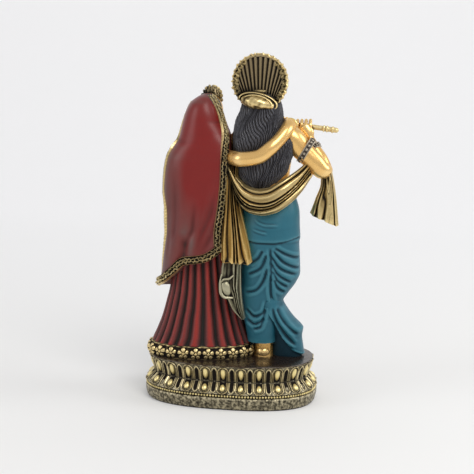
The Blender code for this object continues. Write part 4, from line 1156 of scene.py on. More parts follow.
def petal_surface(low, high, width, rows, columns):
    """The plinth's slope under one petal, seen from the waist: x across, y out and z up."""
    t = np.linspace(0, 1, rows)[:, None] + np.zeros((1, columns))
    x = np.linspace(-0.5, 0.5, columns)[None, :] * width * (1 + 0.06 * t)
    z = low + (high - low) * t
    y = WAIST_INSET - plinth_inset(z) + 0.15
    return np.stack((x, y, z), axis=-1), t


def petal_mesh(low, high, width, relief):
    """A broad lotus petal: an arched rim, a second line inside it and a bed for its boss."""
    grid, t = petal_surface(low, high, width, 19, 21)
    across = grid[..., 0] / (width * (1 + 0.06 * t)) * 2
    q = np.hypot(across, np.clip(t - 0.55, 0, 1) / 0.45)
    height = (
        1.2 * relief * np.exp(-(((q - 0.87) / 0.085) ** 2))
        + 0.6 * relief * np.exp(-(((q - 0.60) / 0.055) ** 2))
        - 0.9 * np.clip((q - 0.98) / 0.12, 0, 1)
    )
    curl = 0.5 * relief * np.clip(t - 0.7, 0, 1) / 0.3 * (q < 1)
    grid[..., 1] += height + curl
    bed = np.clip(1 - height / (0.55 * relief), 0, 1)
    return pad("petal", grid, 1.0, stain=bed, worn=(1 - bed) ** 2)


def sepal_mesh(low, high, width, relief):
    """A narrow sepal between two petals: an arched rim around a deep bed."""
    grid, t = petal_surface(low, high, width, 17, 13)
    across = grid[..., 0] / (width * (1 + 0.06 * t)) * 2
    q = np.hypot(across, np.clip(t - 0.62, 0, 1) / 0.38)
    height = 0.8 * relief * np.exp(-(((q - 0.68) / 0.17) ** 2))
    height -= 0.9 * np.clip((q - 0.96) / 0.12, 0, 1)
    grid[..., 1] += height
    bed = np.clip(1 - height / (0.5 * relief), 0, 1)
    return pad("sepal", grid, 1.0, stain=bed, worn=(1 - bed) ** 2)


def boss_mesh(height, width, proud):
    """A drop-shaped boss, fuller towards its free end."""
    grid = ball((0, 0, 0), (width / 2, proud, height / 2), 16, 11)
    share = (grid[..., 2] / height + 0.5)[..., None]
    grid[..., :2] *= 0.72 + 0.38 * share
    return wrap("boss", grid)


def bead_mesh(width):
    return wrap("bead", ball((0, 0, 0), (width / 2,) * 3, 8, 5))


def rosette_mesh(width, petals):
    """A small flower: pointed petals around a round boss, facing Y."""
    angles = ring_angles(petals * 8)
    leaf = np.abs(np.cos(angles * petals / 2))
    radius = width / 2 * (0.70 + 0.30 * leaf ** 0.8)
    rings = [np.stack((radius * np.sin(angles), 0 * angles - 1.0, radius * np.cos(angles)), axis=-1)]
    for share in (1.0, 0.93, 0.78, 0.6, 0.45, 0.36, 0.30, 0.22, 0.1):
        body = 1.5 * (1 - share ** 3) * (0.45 + 0.55 * leaf ** 0.7)
        vein = -0.35 * np.exp(-(((leaf - 1) / 0.06) ** 2)) * (share > 0.4)
        middle = 1.7 * math.sqrt(max(1 - (share / 0.32) ** 2, 0))
        y = np.maximum(body + vein - 0.7 * math.exp(-(((share - 0.36) / 0.06) ** 2)), middle)
        reach = share * radius
        rings.append(np.stack((reach * np.sin(angles), y, reach * np.cos(angles)), axis=-1))
    gaps = np.clip(1 - leaf * 1.5, 0, 1)[None, :] * np.array([1] + [1] * 6 + [0.8, 0.3, 0])[:, None]
    return marked(wrap("rosette", np.array(rings)), stain=gaps)


def bed_mesh(length, width):
    """One length of the veil's braid: a dark bed between two thin rims."""
    x = np.linspace(-0.5, 0.5, 3)[None, :] * length + np.zeros((21, 1))
    z = np.linspace(-0.5, 0.5, 21)[:, None] * width + np.zeros((1, 3))
    edge = np.abs(z) * 2 / width
    rim = np.exp(-(((edge - 0.89) / 0.07) ** 2))
    stain = np.clip(1 - 1.5 * rim, 0, 1) * (edge < 0.97)
    height = 0.75 * rim - 0.35 - 1.0 * np.clip((edge - 0.95) / 0.05, 0, 1)
    return pad("bed", np.stack((x, height, z), axis=-1), 1.4, stain=stain)


def leaf_mesh(length, width, proud, sides=12, rows=7):
    """A pointed leaf with a midrib, lying in X and Z and facing Y."""
    grid = ball((0, 0, 0), (width / 2, proud, length / 2), sides, rows)
    share = grid[..., 2] / length + 0.5
    grid[..., 0] *= 1.15 - 0.75 * share
    midrib = np.exp(-((grid[..., 0] / (0.16 * width)) ** 2))
    grid[..., 1] += 0.35 * proud * midrib * (grid[..., 1] > 0)
    return wrap("leaf", grid)


def string_beads(name, line, width, pitch, paint_name="antique gold"):
    """A string of beads along a line of points."""
    spots, _ = spaced(np.asarray(line, float), np.asarray(line, float), pitch)
    level = np.eye(3)
    return scatter(name, [(spot, level, 1.0) for spot in spots], bead_mesh(width), paint_name)


class STATUE_OT_plinth(bpy.types.Operator):
    """Add the plinth's body, its plate and its row of beads"""

    bl_idname = "statue.plinth"
    bl_label = "Plinth"
    bl_options = {"REGISTER", "UNDO"}

    def execute(self, context):
        paints()
        sizes = context.scene.statue_sizes
        heights = np.array([height for height, _ in PLINTH_PROFILE])
        fine = np.unique(np.concatenate((heights, np.arange(0, PLINTH_HEIGHT, 0.6))))
        rings = []
        for height in fine[fine < 33.5]:
            spots, _ = oval(260, float(plinth_inset(height)), height)
            rings.append(spots)
        grid = np.array(rings)
        x, y, z = np.moveaxis(grid, -1, 0)
        rough = ripple(x, y, z, 4, 0.9) * (z < 13.5) * (z > 0.3)
        grid = raised(grid, 0.12 * rough)
        # Painted shadow: a dark line along the foot, where the plinth meets the floor. Also a dark band
        # behind the beads, less dark on the bumps
        stain = 0.9 * (z < 0.8) + 0.8 * bump(z, 0, BEAD_LINE[0], 0, 1.0, 1) - 0.25 * rough + 0.16
        worn = 0.5 * bump(z, 0, 8.9, 0, 0.8, 1) + 0.4 * bump(z, 0, 13.0, 0, 0.5, 1) + 0.2
        body = marked(wrap("plinth_body", grid), stain=np.clip(stain, 0, 1), worn=worn + 0 * rough)
        add_piece("plinth_body", body, "plinth bronze")
        top = []
        for height, inset in PLATE_PROFILE:
            spots, _ = oval(240, inset, height)
            top.append(spots)
        plate = np.array(top)
        uneven = 0.10 * ripple(plate[..., 0], plate[..., 1], plate[..., 2], 9, 2.5)
        plate[3:, :, 2] += uneven[3:]
        add_form("plinth_plate", plate, "plate brown")
        height, inset = BEAD_LINE
        _, _, walked = oval_walk(inset)
        count = int(walked / (sizes.bead_pitch / MM))
        places = upright_places(count, inset, height)
        scatter("plinth_beads", places, bead_mesh(sizes.bead_width / MM), "boss gold")
        return {"FINISHED"}


class STATUE_OT_petals(bpy.types.Operator):
    """Add both rows of lotus petals with their sepals and bosses"""

    bl_idname = "statue.petals"
    bl_label = "Lotus petals"
    bl_options = {"REGISTER", "UNDO"}

    def execute(self, context):
        paints()
        sizes = context.scene.statue_sizes
        count = sizes.petals
        width = sizes.petal_width / MM
        relief = sizes.petal_relief / MM
        gap = PETAL_AND_SEPAL - width
        for row, low, high in PETAL_ROWS:
            broad = upright_places(count, WAIST_INSET, 0.0)
            narrow = upright_places(count, WAIST_INSET, 0.0, 0.5)
            petal = petal_mesh(low, high, width, relief)
            scatter(f"{row}_petals", broad, petal, "lotus gold")
            sepal = sepal_mesh(low, high, gap, relief)
            scatter(f"{row}_sepals", narrow, sepal, "lotus gold")
            middle = low + (high - low) * 0.47
            tall = abs(high - low) * 0.80
            out = WAIST_INSET - float(plinth_inset(middle))
            lean = math.atan2(float(plinth_inset(middle - 2) - plinth_inset(middle + 2)), 4.0)
            places = []
            for spot, turn, _ in broad:
                across, away, up = turn.T
                tip = up * math.cos(lean) + away * math.sin(lean)
                if row == "lower":
                    tip = -tip
                    across = -across
                face = np.cross(tip, across)
                place = spot + away * (out + 0.35) + up * middle
                places.append((place, turn_to(across, face, tip), 1.0))
            boss = boss_mesh(tall, BOSS_WIDTH, BOSS_PROUD)
            scatter(f"{row}_bosses", places, boss, "boss gold")
        return {"FINISHED"}


def skirt_surface(columns, heights, sizes):
    """The skirt's pleated surface at some heights, and the painted shade in its grooves and over the sides
    of its pleats.
    """
    angles = ring_angles(columns)
    grid = upright(SKIRT, heights, angles)
    turns = angles / TURN * sizes.pleats
    gap = np.abs(turns - np.round(turns))[None, :]
    depth = sizes.pleat_depth / MM
    fade = np.interp(heights, (30, 42.5, 44.5, 104, 159), (0.15, 0.15, 1.0, 0.75, 0.2))
    groove = np.exp(-((gap / 0.20) ** 1.9))
    relief = 0.45 * depth * np.sin(gap * math.pi) ** 2 - depth * groove
    grid = raised(grid, fade * relief)
    # Painted shade: darkest in each groove, fading over the sides of the pleats
    shade = np.exp(-((gap / 0.15) ** 2)) * 0.55 + np.exp(-((gap / 0.33) ** 2)) * 0.42
    shade = (shade + 0 * relief) * np.clip(fade * 1.3, 0, 1)
    return turned(grid, SKIRT_TURN, SKIRT_CENTRE), shade


class STATUE_OT_skirt(bpy.types.Operator):
    """Add Radha's pleated skirt with its hem of flowers"""

    bl_idname = "statue.skirt"
    bl_label = "Skirt"
    bl_options = {"REGISTER", "UNDO"}

    def execute(self, context):
        paints()
        sizes = context.scene.statue_sizes
        heights = np.concatenate((np.linspace(40, 46, 8), np.linspace(48, 159, 44)))[:, None]
        grid, groove = skirt_surface(432, heights, sizes)
        x, y, z = np.moveaxis(grid, -1, 0)
        # Painted highlight on the pleats' crests, weaker towards the skirt's sides, with some random rubbed
        # tone
        crest = np.clip(1.1 - 3.4 * groove, 0, 1) * np.clip(1.15 - np.abs(x - 16) / 42, 0.1, 1)
        worn = np.clip(crest + 0.35 * ripple(x, y, z * 0.1, 5, 3.0), 0, 1)
        skirt = marked(wrap("radha_skirt", grid), stain=groove * 0.8, worn=worn)
        add_piece("radha_skirt", skirt, "skirt red")
        band, _ = skirt_surface(360, np.linspace(33.2, 43.6, 16)[:, None], sizes)
        x, y, z = np.moveaxis(band, -1, 0)
        edge = bump(z, 0, 33.8, 0, 0.7, 1) + bump(z, 0, 42.9, 0, 0.6, 1)
        rough = ripple(x, y, z, 11, 0.7)
        band = raised(band, 0.4 + 0.45 * edge + 0.25 * rough)
        hem = marked(wrap("skirt_hem", band), stain=np.clip(0.9 - 0.7 * edge - 0.5 * rough, 0, 1))
        add_piece("skirt_hem", hem, "antique gold")
        ring, _ = skirt_surface(960, np.array([[33.5], [38.3], [43.5]]), sizes)
        normals = surface_normals(ring)[1]
        line = ring[1]
        spots, aways = spaced(
            np.concatenate((line, line[:1])), np.concatenate((normals, normals[:1])), HEM_PITCH
        )
        up = np.array([0, 0, 1.0])
        places = []
        for spot, away in zip(spots, aways):
            away = away * np.array([1, 1, 0])
            away /= np.linalg.norm(away)
            places.append((spot + away * 0.6, turn_to(np.cross(away, up), away, up), 1.0))
        flower = rosette_mesh(sizes.rosette_width / MM, 5)
        scatter("hem_flowers", places, flower, "antique gold")
        return {"FINISHED"}


def veil_surface(columns, rows):
    """The veil as rings from the top of the head to the slanting hem."""
    angles = ring_angles(columns)
    shares = np.linspace(0, 1, rows) ** 1.12
    degrees = np.degrees((angles + math.pi) % TURN - math.pi)
    table = np.asarray(VEIL_HEM, float)
    hem = smooth(table[:, 0], table[:, 1:], np.clip(degrees, -90, 90))[:, 0]
    heights = VEIL_TOP + (hem[None, :] - VEIL_TOP) * shares[:, None]
    return upright(VEIL, heights, angles, VEIL_CORNER)


def veil_edge(heights, inwards):
    """Points on the veil's back, a way in from its right edge, and their outward directions."""
    table = np.asarray(VEIL, float)
    left, right, back, _, middle, _ = smooth(table[:, 0], table[:, 1:], heights).T
    square = np.interp(heights, *zip(*VEIL_CORNER))

    def depth(way_in):
        aside = 1 - way_in / ((left - right) / 2)
        return middle + (back - middle) * (1 - aside ** square) ** (1 / square)

    slope = (depth(inwards + 0.6) - depth(inwards - 0.15)) / 0.75
    away = np.stack((-slope, np.ones_like(slope), np.zeros_like(slope)), axis=-1)
    away /= np.linalg.norm(away, axis=1, keepdims=True)
    return np.stack((right + inwards, depth(inwards), heights), axis=-1), away


class STATUE_OT_veil(bpy.types.Operator):
    """Add Radha's veil and the braid along its edges"""

    bl_idname = "statue.veil"
    bl_label = "Veil"
    bl_options = {"REGISTER", "UNDO"}

    def execute(self, context):
        paints()
        sizes = context.scene.statue_sizes
        grid = veil_surface(300, 200)
        x, y, z = np.moveaxis(grid, -1, 0)
        soft, grooves, _ = folds(grid, VEIL_FOLDS, 1.7, 3.6, 0.42)
        low = np.clip((200 - z) / 40, 0, 1)
        soft += low * 0.5 * ripple(x, y * 0.3, z * 0.18, 12, 4.5)
        streaks = low * ripple(x, y * 0.3, z * 0.14, 33, 2.6)
        lower_left = np.clip((x - 33) / 20, 0, 1) * 0.55 + np.clip((165 - z) / 70, 0, 1) * 0.5
        rubbed = lower_left + 0.45 * ripple(x, y, z * 0.25, 21, 5.0) * low + 0.3 * streaks
        stain = np.clip(grooves * 0.30 - streaks * 0.22, 0, 1)
        sheet = raised(grid, soft)[1::2]
        worn = np.clip(rubbed, 0, 1)[1::2]
        cloth = marked(wrap("radha_veil", sheet), worn=worn, stain=stain[1::2])
        add_piece("radha_veil", cloth, "veil red")
        width = sizes.braid_width / MM
        normals = surface_normals(grid)
        columns = np.arange(-58, 74)
        hem = grid[-1, columns] + np.array([0, 0, width * 0.46])
        self.braid("veil_hem_braid", hem, normals[-3, columns], width)
        heights = np.linspace(237, 121, 90)
        middle = np.interp(heights, (86, 200, 214, 238), (3.4, 3.2, 1.6, 1.4))
        line, away = veil_edge(heights, middle)
        self.braid("veil_right_braid", line, away, width)
        rows = np.arange(14, 196)
        columns = np.interp(rows, *VEIL_LEFT_BRAID).astype(int)
        narrow = width * 0.42
        self.braid("veil_left_braid", grid[rows, columns], normals[rows, columns], narrow, "crown gold")
        return {"FINISHED"}

    def braid(self, name, line, normals, width, leaf_paint="filigree gold"):
        spots, aways = spaced(line + normals * 1.1, normals, 2.6)
        turns = frames_on(spots, aways)
        places = [(spot, turn, 1.0) for spot, turn in zip(spots, turns)]
        scatter(f"{name}_bed", places, bed_mesh(2.9, width), "antique gold")
        chance = np.random.default_rng(len(name))
        leaves = []
        spots, aways = spaced(line + normals * 1.3, normals, 1.6)
        for index, (spot, turn) in enumerate(zip(spots, frames_on(spots, aways))):
            ahead, away, aside = turn.T
            for side in (-1, 1):
                swing = side * (0.85 if index % 2 else -0.35) + chance.normal(0, 0.35)
                lean = ahead * math.cos(swing) + aside * math.sin(swing)
                place = spot + aside * side * width * chance.uniform(0.10, 0.27)
                grow = chance.uniform(0.75, 1.15) * width / 6.5
                leaves.append((place, turn_to(np.cross(away, lean), away, lean), grow))
        leaf = leaf_mesh(3.0, 1.35, 1.0, 8, 4)
        scatter(f"{name}_leaves", leaves, leaf, leaf_paint)


def hair_relief(grid, angles, depth):
    """Wavy locks with fine strands on them."""
    z = grid[..., 2]
    angles = angles[None, :]
    swing = 0.085 * np.sin(z / 4.6 + angles * 5) + 0.022 * np.sin(z / 2.3 + angles * 11)
    flow = angles + swing
    locks = np.abs(np.sin(flow * 9 + 0.6 * np.sin(z / 9.0))) ** 0.7
    strands = np.abs(np.sin(flow * 33 + 1.6 * np.sin(z / 6.0 + angles * 4)))
    hairs = np.abs(np.sin(flow * 76 + 2.0 * np.sin(z / 3.3 + angles * 6)))
    ends = np.clip((176 - z) / 8, 0, 1) * np.sin(flow * 24)
    return depth * (0.42 * (locks - 0.6) + 0.85 * (strands - 0.6) + 0.50 * (hairs - 0.5) + 0.5 * ends)


class STATUE_OT_hair(bpy.types.Operator):
    """Add Krishna's long hair"""

    bl_idname = "statue.hair"
    bl_label = "Hair"
    bl_options = {"REGISTER", "UNDO"}

    def execute(self, context):
        paints()
        sizes = context.scene.statue_sizes
        angles = ring_angles(320)
        angles = angles - 0.45 * np.sin(angles)
        heights = np.linspace(167.6, 239, 170)[:, None]
        grid = upright(HAIR, heights, angles)
        grid = raised(grid, hair_relief(grid, angles, sizes.lock_depth / MM))
        add_form("krishna_hair", grid, "hair")
        return {"FINISHED"}


class STATUE_OT_crown(bpy.types.Operator):
    """Add Krishna's ribbed crown, its leaves, its cap and Radha's tiara"""

    bl_idname = "statue.crown"
    bl_label = "Crowns"
    bl_options = {"REGISTER", "UNDO"}

    def execute(self, context):
        paints()
        columns = CROWN_RIBS * 12
        angles = ring_angles(columns)
        centre = np.array([CROWN_CENTRE[0], CROWN_CENTRE[2]])
        ways = np.stack((np.sin(angles), np.cos(angles)), axis=-1)
        rim = centre + CROWN_RADIUS * ways
        hub = np.asarray(CROWN_HUB) + np.asarray(CROWN_HUB_REACH) * ways
        rib = np.abs(np.cos(angles * CROWN_RIBS / 2)) ** 1.3
        half = CROWN_THICKNESS / 2
        rings = []
        for share, depth in CROWN_FRONT:
            flat = hub + (rim - hub) * share
            y = CROWN_CENTRE[1] + half * depth - (share < 0.9) * 0.5 * (rib - 0.5)
            rings.append(np.stack((flat[:, 0], y, flat[:, 1]), axis=-1))
        back = [(share, depth, 0.0) for share, depth in CROWN_BACK_RIM]
        back += [(share, 0.55, 1.0) for share in np.linspace(0.91, 0.05, 26)]
        for share, depth, carve in back:
            flat = hub + (rim - hub) * share
            dish = 0.5 * (1 - share) * carve
            y = CROWN_CENTRE[1] + depth * half + carve * 1.3 * (rib - 0.4) + dish
            rings.append(np.stack((flat[:, 0], y, flat[:, 1]), axis=-1))
        between = np.clip(1 - rib * 1.5, 0, 1)[None, :] * np.array([0.0] * 10 + [1.0] * 26)[:, None]
        fan = marked(wrap("crown_fan", np.array(rings)), stain=between * 0.9)
        add_piece("crown_fan", fan, "crown gold")
        self.leaves(centre)
        self.cap()
        bowl = ball(*CROWN_BOWL, 96, 48)
        bands = np.sin((bowl[..., 2] - 232) * 2.1)
        bowl = raised(bowl, 0.35 * bands)
        add_form("crown_bowl", bowl, "antique gold")
        leaf = ball(*CROWN_LEAF, 72, 48)
        x, _, z = np.moveaxis(leaf - np.asarray(CROWN_LEAF[0]), -1, 0)
        veins = np.abs(np.sin(x * 1.7 + z * 0.25))
        leaf = raised(leaf, 0.8 * (veins - 0.5))
        add_form("crown_leaf", leaf, "antique gold")
        self.tiara()
        return {"FINISHED"}

    def leaves(self, centre):
        """Small leaves that overlap around the rim, broader towards its sides."""
        chance = np.random.default_rng(3)
        places = []
        for row, reach in enumerate((CROWN_RADIUS - 0.5, CROWN_RADIUS - 2.7)):
            for index in range(CROWN_LEAVES):
                angle = TURN * (index + 0.5 * row) / CROWN_LEAVES + chance.normal(0, 0.015)
                aside = abs(math.sin(angle))
                if row and aside < 0.55:
                    continue
                way = np.array([math.sin(angle), 0, math.cos(angle)])
                round_way = np.array([math.cos(angle), 0, -math.sin(angle)])
                swing = (0.75 if index % 2 else -0.75) + chance.normal(0, 0.25)
                lean = way * math.cos(swing) + round_way * math.sin(swing)
                lean = lean + np.array([0, chance.uniform(-0.1, 0.35), 0])
                lean /= np.linalg.norm(lean)
                face = np.array([0, 1.0, 0]) - lean * lean[1]
                face /= np.linalg.norm(face)
                middle = np.array([centre[0], CROWN_CENTRE[1] + 1.5, centre[1]])
                spot = middle + way * (reach - 0.4 * aside)
                grow = (0.72 + 0.35 * aside) * chance.uniform(0.85, 1.15)
                places.append((spot, turn_to(np.cross(face, lean), face, lean), grow))
        scatter("crown_leaves", places, leaf_mesh(4.2, 2.7, 1.4), "rim gold")

    def cap(self):
        """The lens at the crown's foot, beaten with a hammer, and the two bands along its upper edge."""
        lens = ball(CAP_CENTRE, CAP_REACH, 110, 50)
        x, y, z = np.moveaxis(lens, -1, 0)
        relief = 0.30 * ripple(x, y, z, 3, 1.3) + 0.25 * ripple(x, y, z, 5, 0.7)
        lens = marked(
            wrap("crown_cap", tilted(raised(lens, relief), CAP_TILT, CAP_CENTRE)),
            stain=np.clip(-relief * 2.0, 0, 0.6),
        )
        add_piece("crown_cap", lens, "antique gold")
        for number, (grow, start, stop) in enumerate(CAP_BANDS, 1):
            swing = np.radians(np.linspace(start, stop, 15))
            x = CAP_REACH[0] * grow * np.sin(swing)
            z = CAP_REACH[2] * grow * np.cos(swing) + 0.6
            level = np.maximum(1 - (x / CAP_REACH[0]) ** 2 - (z / CAP_REACH[2]) ** 2, 0)
            y = CAP_REACH[1] * np.sqrt(level) - 0.6 * (grow > 1)
            band = np.asarray(CAP_CENTRE) + np.stack((x, y, z), axis=-1)
            band = tilted(band, CAP_TILT, CAP_CENTRE)
            name = f"crown_band_{number}"
            line_tube(name, band, 0.85, 1.5, "antique gold", 0.35, 90, 20)

    def tiara(self):
        """Radha's tiara: a small peak covered with leaves."""
        centre, reach = (np.asarray(part) for part in RADHA_TIARA)
        add_form("radha_tiara", ball(centre, reach, 96, 48), "crown gold")
        chance = np.random.default_rng(5)
        places = []
        for tilt, count in TIARA_ROWS:
            tilt = math.radians(tilt)
            for index in range(count):
                angle = TURN * (index + 0.5 * (tilt > 0.3)) / count
                level = math.cos(tilt)
                way = np.array([math.sin(angle) * level, math.cos(angle) * level, math.sin(tilt)])
                away = way / reach
                away /= np.linalg.norm(away)
                up = np.array([chance.normal(0, 0.5), chance.normal(0, 0.5), 1.0])
                up -= away * np.dot(away, up)
                up /= np.linalg.norm(up)
                grow = chance.uniform(0.8, 1.1)
                places.append((centre + way * reach, turn_to(np.cross(away, up), away, up), grow))
        scatter("tiara_leaves", places, leaf_mesh(3.6, 1.9, 1.3), "rim gold")


def line_tube(name, points, half_width, half_depth, paint_name, taper=0.0, rows=40, sides=12):
    """A rounded cord through some points as a piece."""
    points = np.asarray(points, float)
    share = np.linspace(-1, 1, len(points))
    size = 1 - taper * share ** 2
    path = np.column_stack((points, half_width * size, half_depth * size))
    return add_form(name, tube(path, sides, rows), paint_name)


def limb(name, path, sides, rows):
    return add_form(name, tube(path, sides, rows), "gold skin")


def fingers(name, rows_of_points, radius=1.5):
    """Four fingers with knuckles, from a row of knuckles to a row of tips, as one piece."""
    knuckles, tips = rows_of_points
    meshes = []
    for start, end in zip(along(knuckles, 4), along(tips, 4)):
        bent = (start + end) / 2 + np.array([0, 1.2, 0.6])
        widths = (radius, radius * 0.97, radius * 0.85)
        path = np.array([(*spot, size, size) for spot, size in zip((start, bent, end), widths)])
        grid = tube(path, 16, 18)
        share = np.linspace(0, 1, len(grid))
        joint = 0.14 * bump(share, 0, 0.5, 0, 0.05, 1) + 0.10 * bump(share, 0, 0.74, 0, 0.04, 1)
        meshes.append(wrap("finger", raised(grid, joint[:, None] + 0 * grid[..., 0])))
    return add_piece(name, join_meshes(name, meshes), "gold skin")


def toes(name, foot, count=5):
    """Toes at the front end of a foot, as one piece."""
    end = np.asarray(foot[-1], float)
    before = np.asarray(foot[-2], float)
    ahead = end[:3] - before[:3]
    ahead /= np.linalg.norm(ahead)
    aside = np.array([-ahead[1], ahead[0], 0.0])
    meshes = []
    for index in range(count):
        across = (index / (count - 1) - 0.5) * 2
        radius = 1.35 - 0.12 * index
        start = end[:3] + aside * across * (end[3] - 1.3) - ahead * 1.5
        start[2] = end[2] - 0.5
        tip = start + ahead * (4.2 - 0.5 * abs(across)) + np.array([0, 0, -0.5])
        path = [(*start, radius, radius), (*tip, radius, radius * 0.9)]
        meshes.append(wrap("toe", tube(path, 14, 8)))
    return add_piece(name, join_meshes(name, meshes), "gold skin")


def face_marks(name, head):
    """Eyes, brows and lips of a face."""
    whites = []
    irises = []
    for side in (-1, 1):
        spot = on_face(head, [(side * 0.34, 0.062)], -0.06)[0]
        eye = ball((0, 0, 0), (2.05, 1.2, 0.95), 36, 18)
        eye[..., 2] *= 1 - 0.25 * (eye[..., 0] / 2.05) ** 2
        eye = turned(eye, side * 18.0 - head[2], (0, 0))
        whites.append(wrap("eye", eye + spot))
        look = on_face(head, [(side * 0.335, 0.060)], 0.035)[0]
        iris = turned(ball((0, 0, 0), (0.72, 0.42, 0.78), 24, 12), side * 18.0 - head[2], (0, 0))
        irises.append(wrap("iris", iris + look))
    add_piece(f"{name}_eyes", join_meshes("eyes", whites), "eye white")
    add_piece(f"{name}_irises", join_meshes("irises", irises), "hair")
    lines = []
    for side in (-1, 1):
        brow = [(side * (0.13 + 0.12 * k), 0.235 + 0.055 * math.sin(k * 0.9)) for k in range(5)]
        lid = [(side * (0.14 + 0.10 * k), 0.085 + 0.055 * math.sin(k * math.pi / 4)) for k in range(5)]
        for marks, lift, size in ((brow, 0.0, 0.32), (lid, 0.035, 0.22)):
            points = on_face(head, marks, lift)
            width = size * (1 - 0.6 * np.linspace(-0.6, 1, 5) ** 2)
            lines.append(wrap("line", tube(np.column_stack((points, width, width)), 8, 24)))
    add_piece(f"{name}_brows", join_meshes("brows", lines), "hair")
    lips = []
    for height, bow, size in ((-0.385, 0.014, 0.42), (-0.455, -0.02, 0.52)):
        marks = [(x, height + bow * math.cos(x * 14)) for x in np.linspace(-0.17, 0.17, 7)]
        points = on_face(head, marks, -0.015)
        width = size * (1 - 0.65 * np.linspace(-1, 1, 7) ** 2)
        lips.append(wrap("lip", tube(np.column_stack((points, width, width)), 10, 24)))
    add_piece(f"{name}_lips", join_meshes("lips", lips), "lip red")


def ring_around(path, share, grow, thickness, name):
    """A bangle around a limb at a share of the way along it."""
    line = along(path, 61)
    at = int(round(share * 60))
    before, here, after = line[max(at - 1, 0)], line[at], line[min(at + 1, 60)]
    ahead = after[:3] - before[:3]
    ahead /= np.linalg.norm(ahead)
    ends = [here[:3] - ahead * thickness * shift for shift in (1, 0.5, 0, -0.5, -1)]
    rings = []
    for index, point in enumerate(ends):
        size = grow * math.sin((index + 0.6) / 5.2 * math.pi)
        rings.append((*point, here[3] + size, here[4] + size))
    return wrap(name, tube(rings, 48, 9, False))


class STATUE_OT_radha(bpy.types.Operator):
    """Add Radha's head, body, arms, hands, feet and the lotus bud she holds"""

    bl_idname = "statue.radha"
    bl_label = "Radha"
    bl_options = {"REGISTER", "UNDO"}

    def execute(self, context):
        paints()
        add_form("radha_head", head_grid(RADHA_HEAD), "gold skin")
        face_marks("radha", RADHA_HEAD)
        angles = ring_angles(110)
        heights = np.linspace(158, 217, 60)[:, None]
        add_form("radha_body", upright(RADHA_TORSO, heights, angles), "gold skin")
        heights = np.linspace(175, 199, 40)[:, None]
        blouse = upright(RADHA_TORSO, heights, angles)
        edge = bump(heights, 0, 176, 0, 1.2, 1) + bump(heights, 0, 198, 0, 1.2, 1)
        blouse = raised(blouse, 0.45 + 0.5 * edge + 0 * blouse[..., 0])
        add_form("radha_blouse", blouse, "skirt red")
        heights = np.linspace(152.5, 160.5, 24)[:, None]
        belt = upright(RADHA_TORSO, heights, angles)
        rims = bump(heights, 0, 153.5, 0, 0.9, 1) + bump(heights, 0, 159.5, 0, 0.9, 1)
        studs = 0.5 * np.abs(np.cos(angles * 20))[None, :] * bump(heights, 0, 156.5, 0, 1.6, 1)
        belt = raised(belt, 0.5 + 0.6 * rims + studs + 0 * belt[..., 0])
        add_form("radha_belt", belt, "antique gold")
        bun = ball(*RADHA_HAIR, 120, 40)
        strands = np.abs(np.sin(np.arctan2(bun[..., 0] - 22, bun[..., 1] + 1) * 20))
        bun = raised(bun, 0.35 * (strands - 0.5))
        add_form("radha_hair", bun, "hair")
        limb("radha_right_arm", RADHA_RIGHT_ARM, 48, 130)
        limb("radha_left_arm", RADHA_LEFT_ARM, 40, 90)
        fingers("radha_right_fingers", RADHA_RIGHT_FINGERS)
        fingers("radha_left_fingers", RADHA_LEFT_FINGERS)
        for side, foot in (("left", RADHA_LEFT_FOOT), ("right", RADHA_RIGHT_FOOT)):
            limb(f"radha_{side}_foot", foot, 40, 30)
            toes(f"radha_{side}_toes", foot)
        bangles = [ring_around(*bangle, "bangle") for bangle in RADHA_BANGLES]
        add_piece("radha_bangles", join_meshes("bangles", bangles), "boss gold")
        bud = ball((0, 0, 0), BUD_REACH, 96, 48)
        folds_around = np.abs(np.cos(np.arctan2(bud[..., 0], bud[..., 1]) * 4)) ** 0.7
        tall = bud[..., 2] / BUD_REACH[2]
        bud = raised(bud, (0.5 * folds_around - 0.3) * (1 - tall ** 2))
        bud += np.array(BUD_CENTRE)
        add_form("lotus_bud", bud, "lotus pink")
        string_beads("radha_necklace", along(RADHA_NECKLACE, 60), 1.7, 1.9, "boss gold")
        return {"FINISHED"}


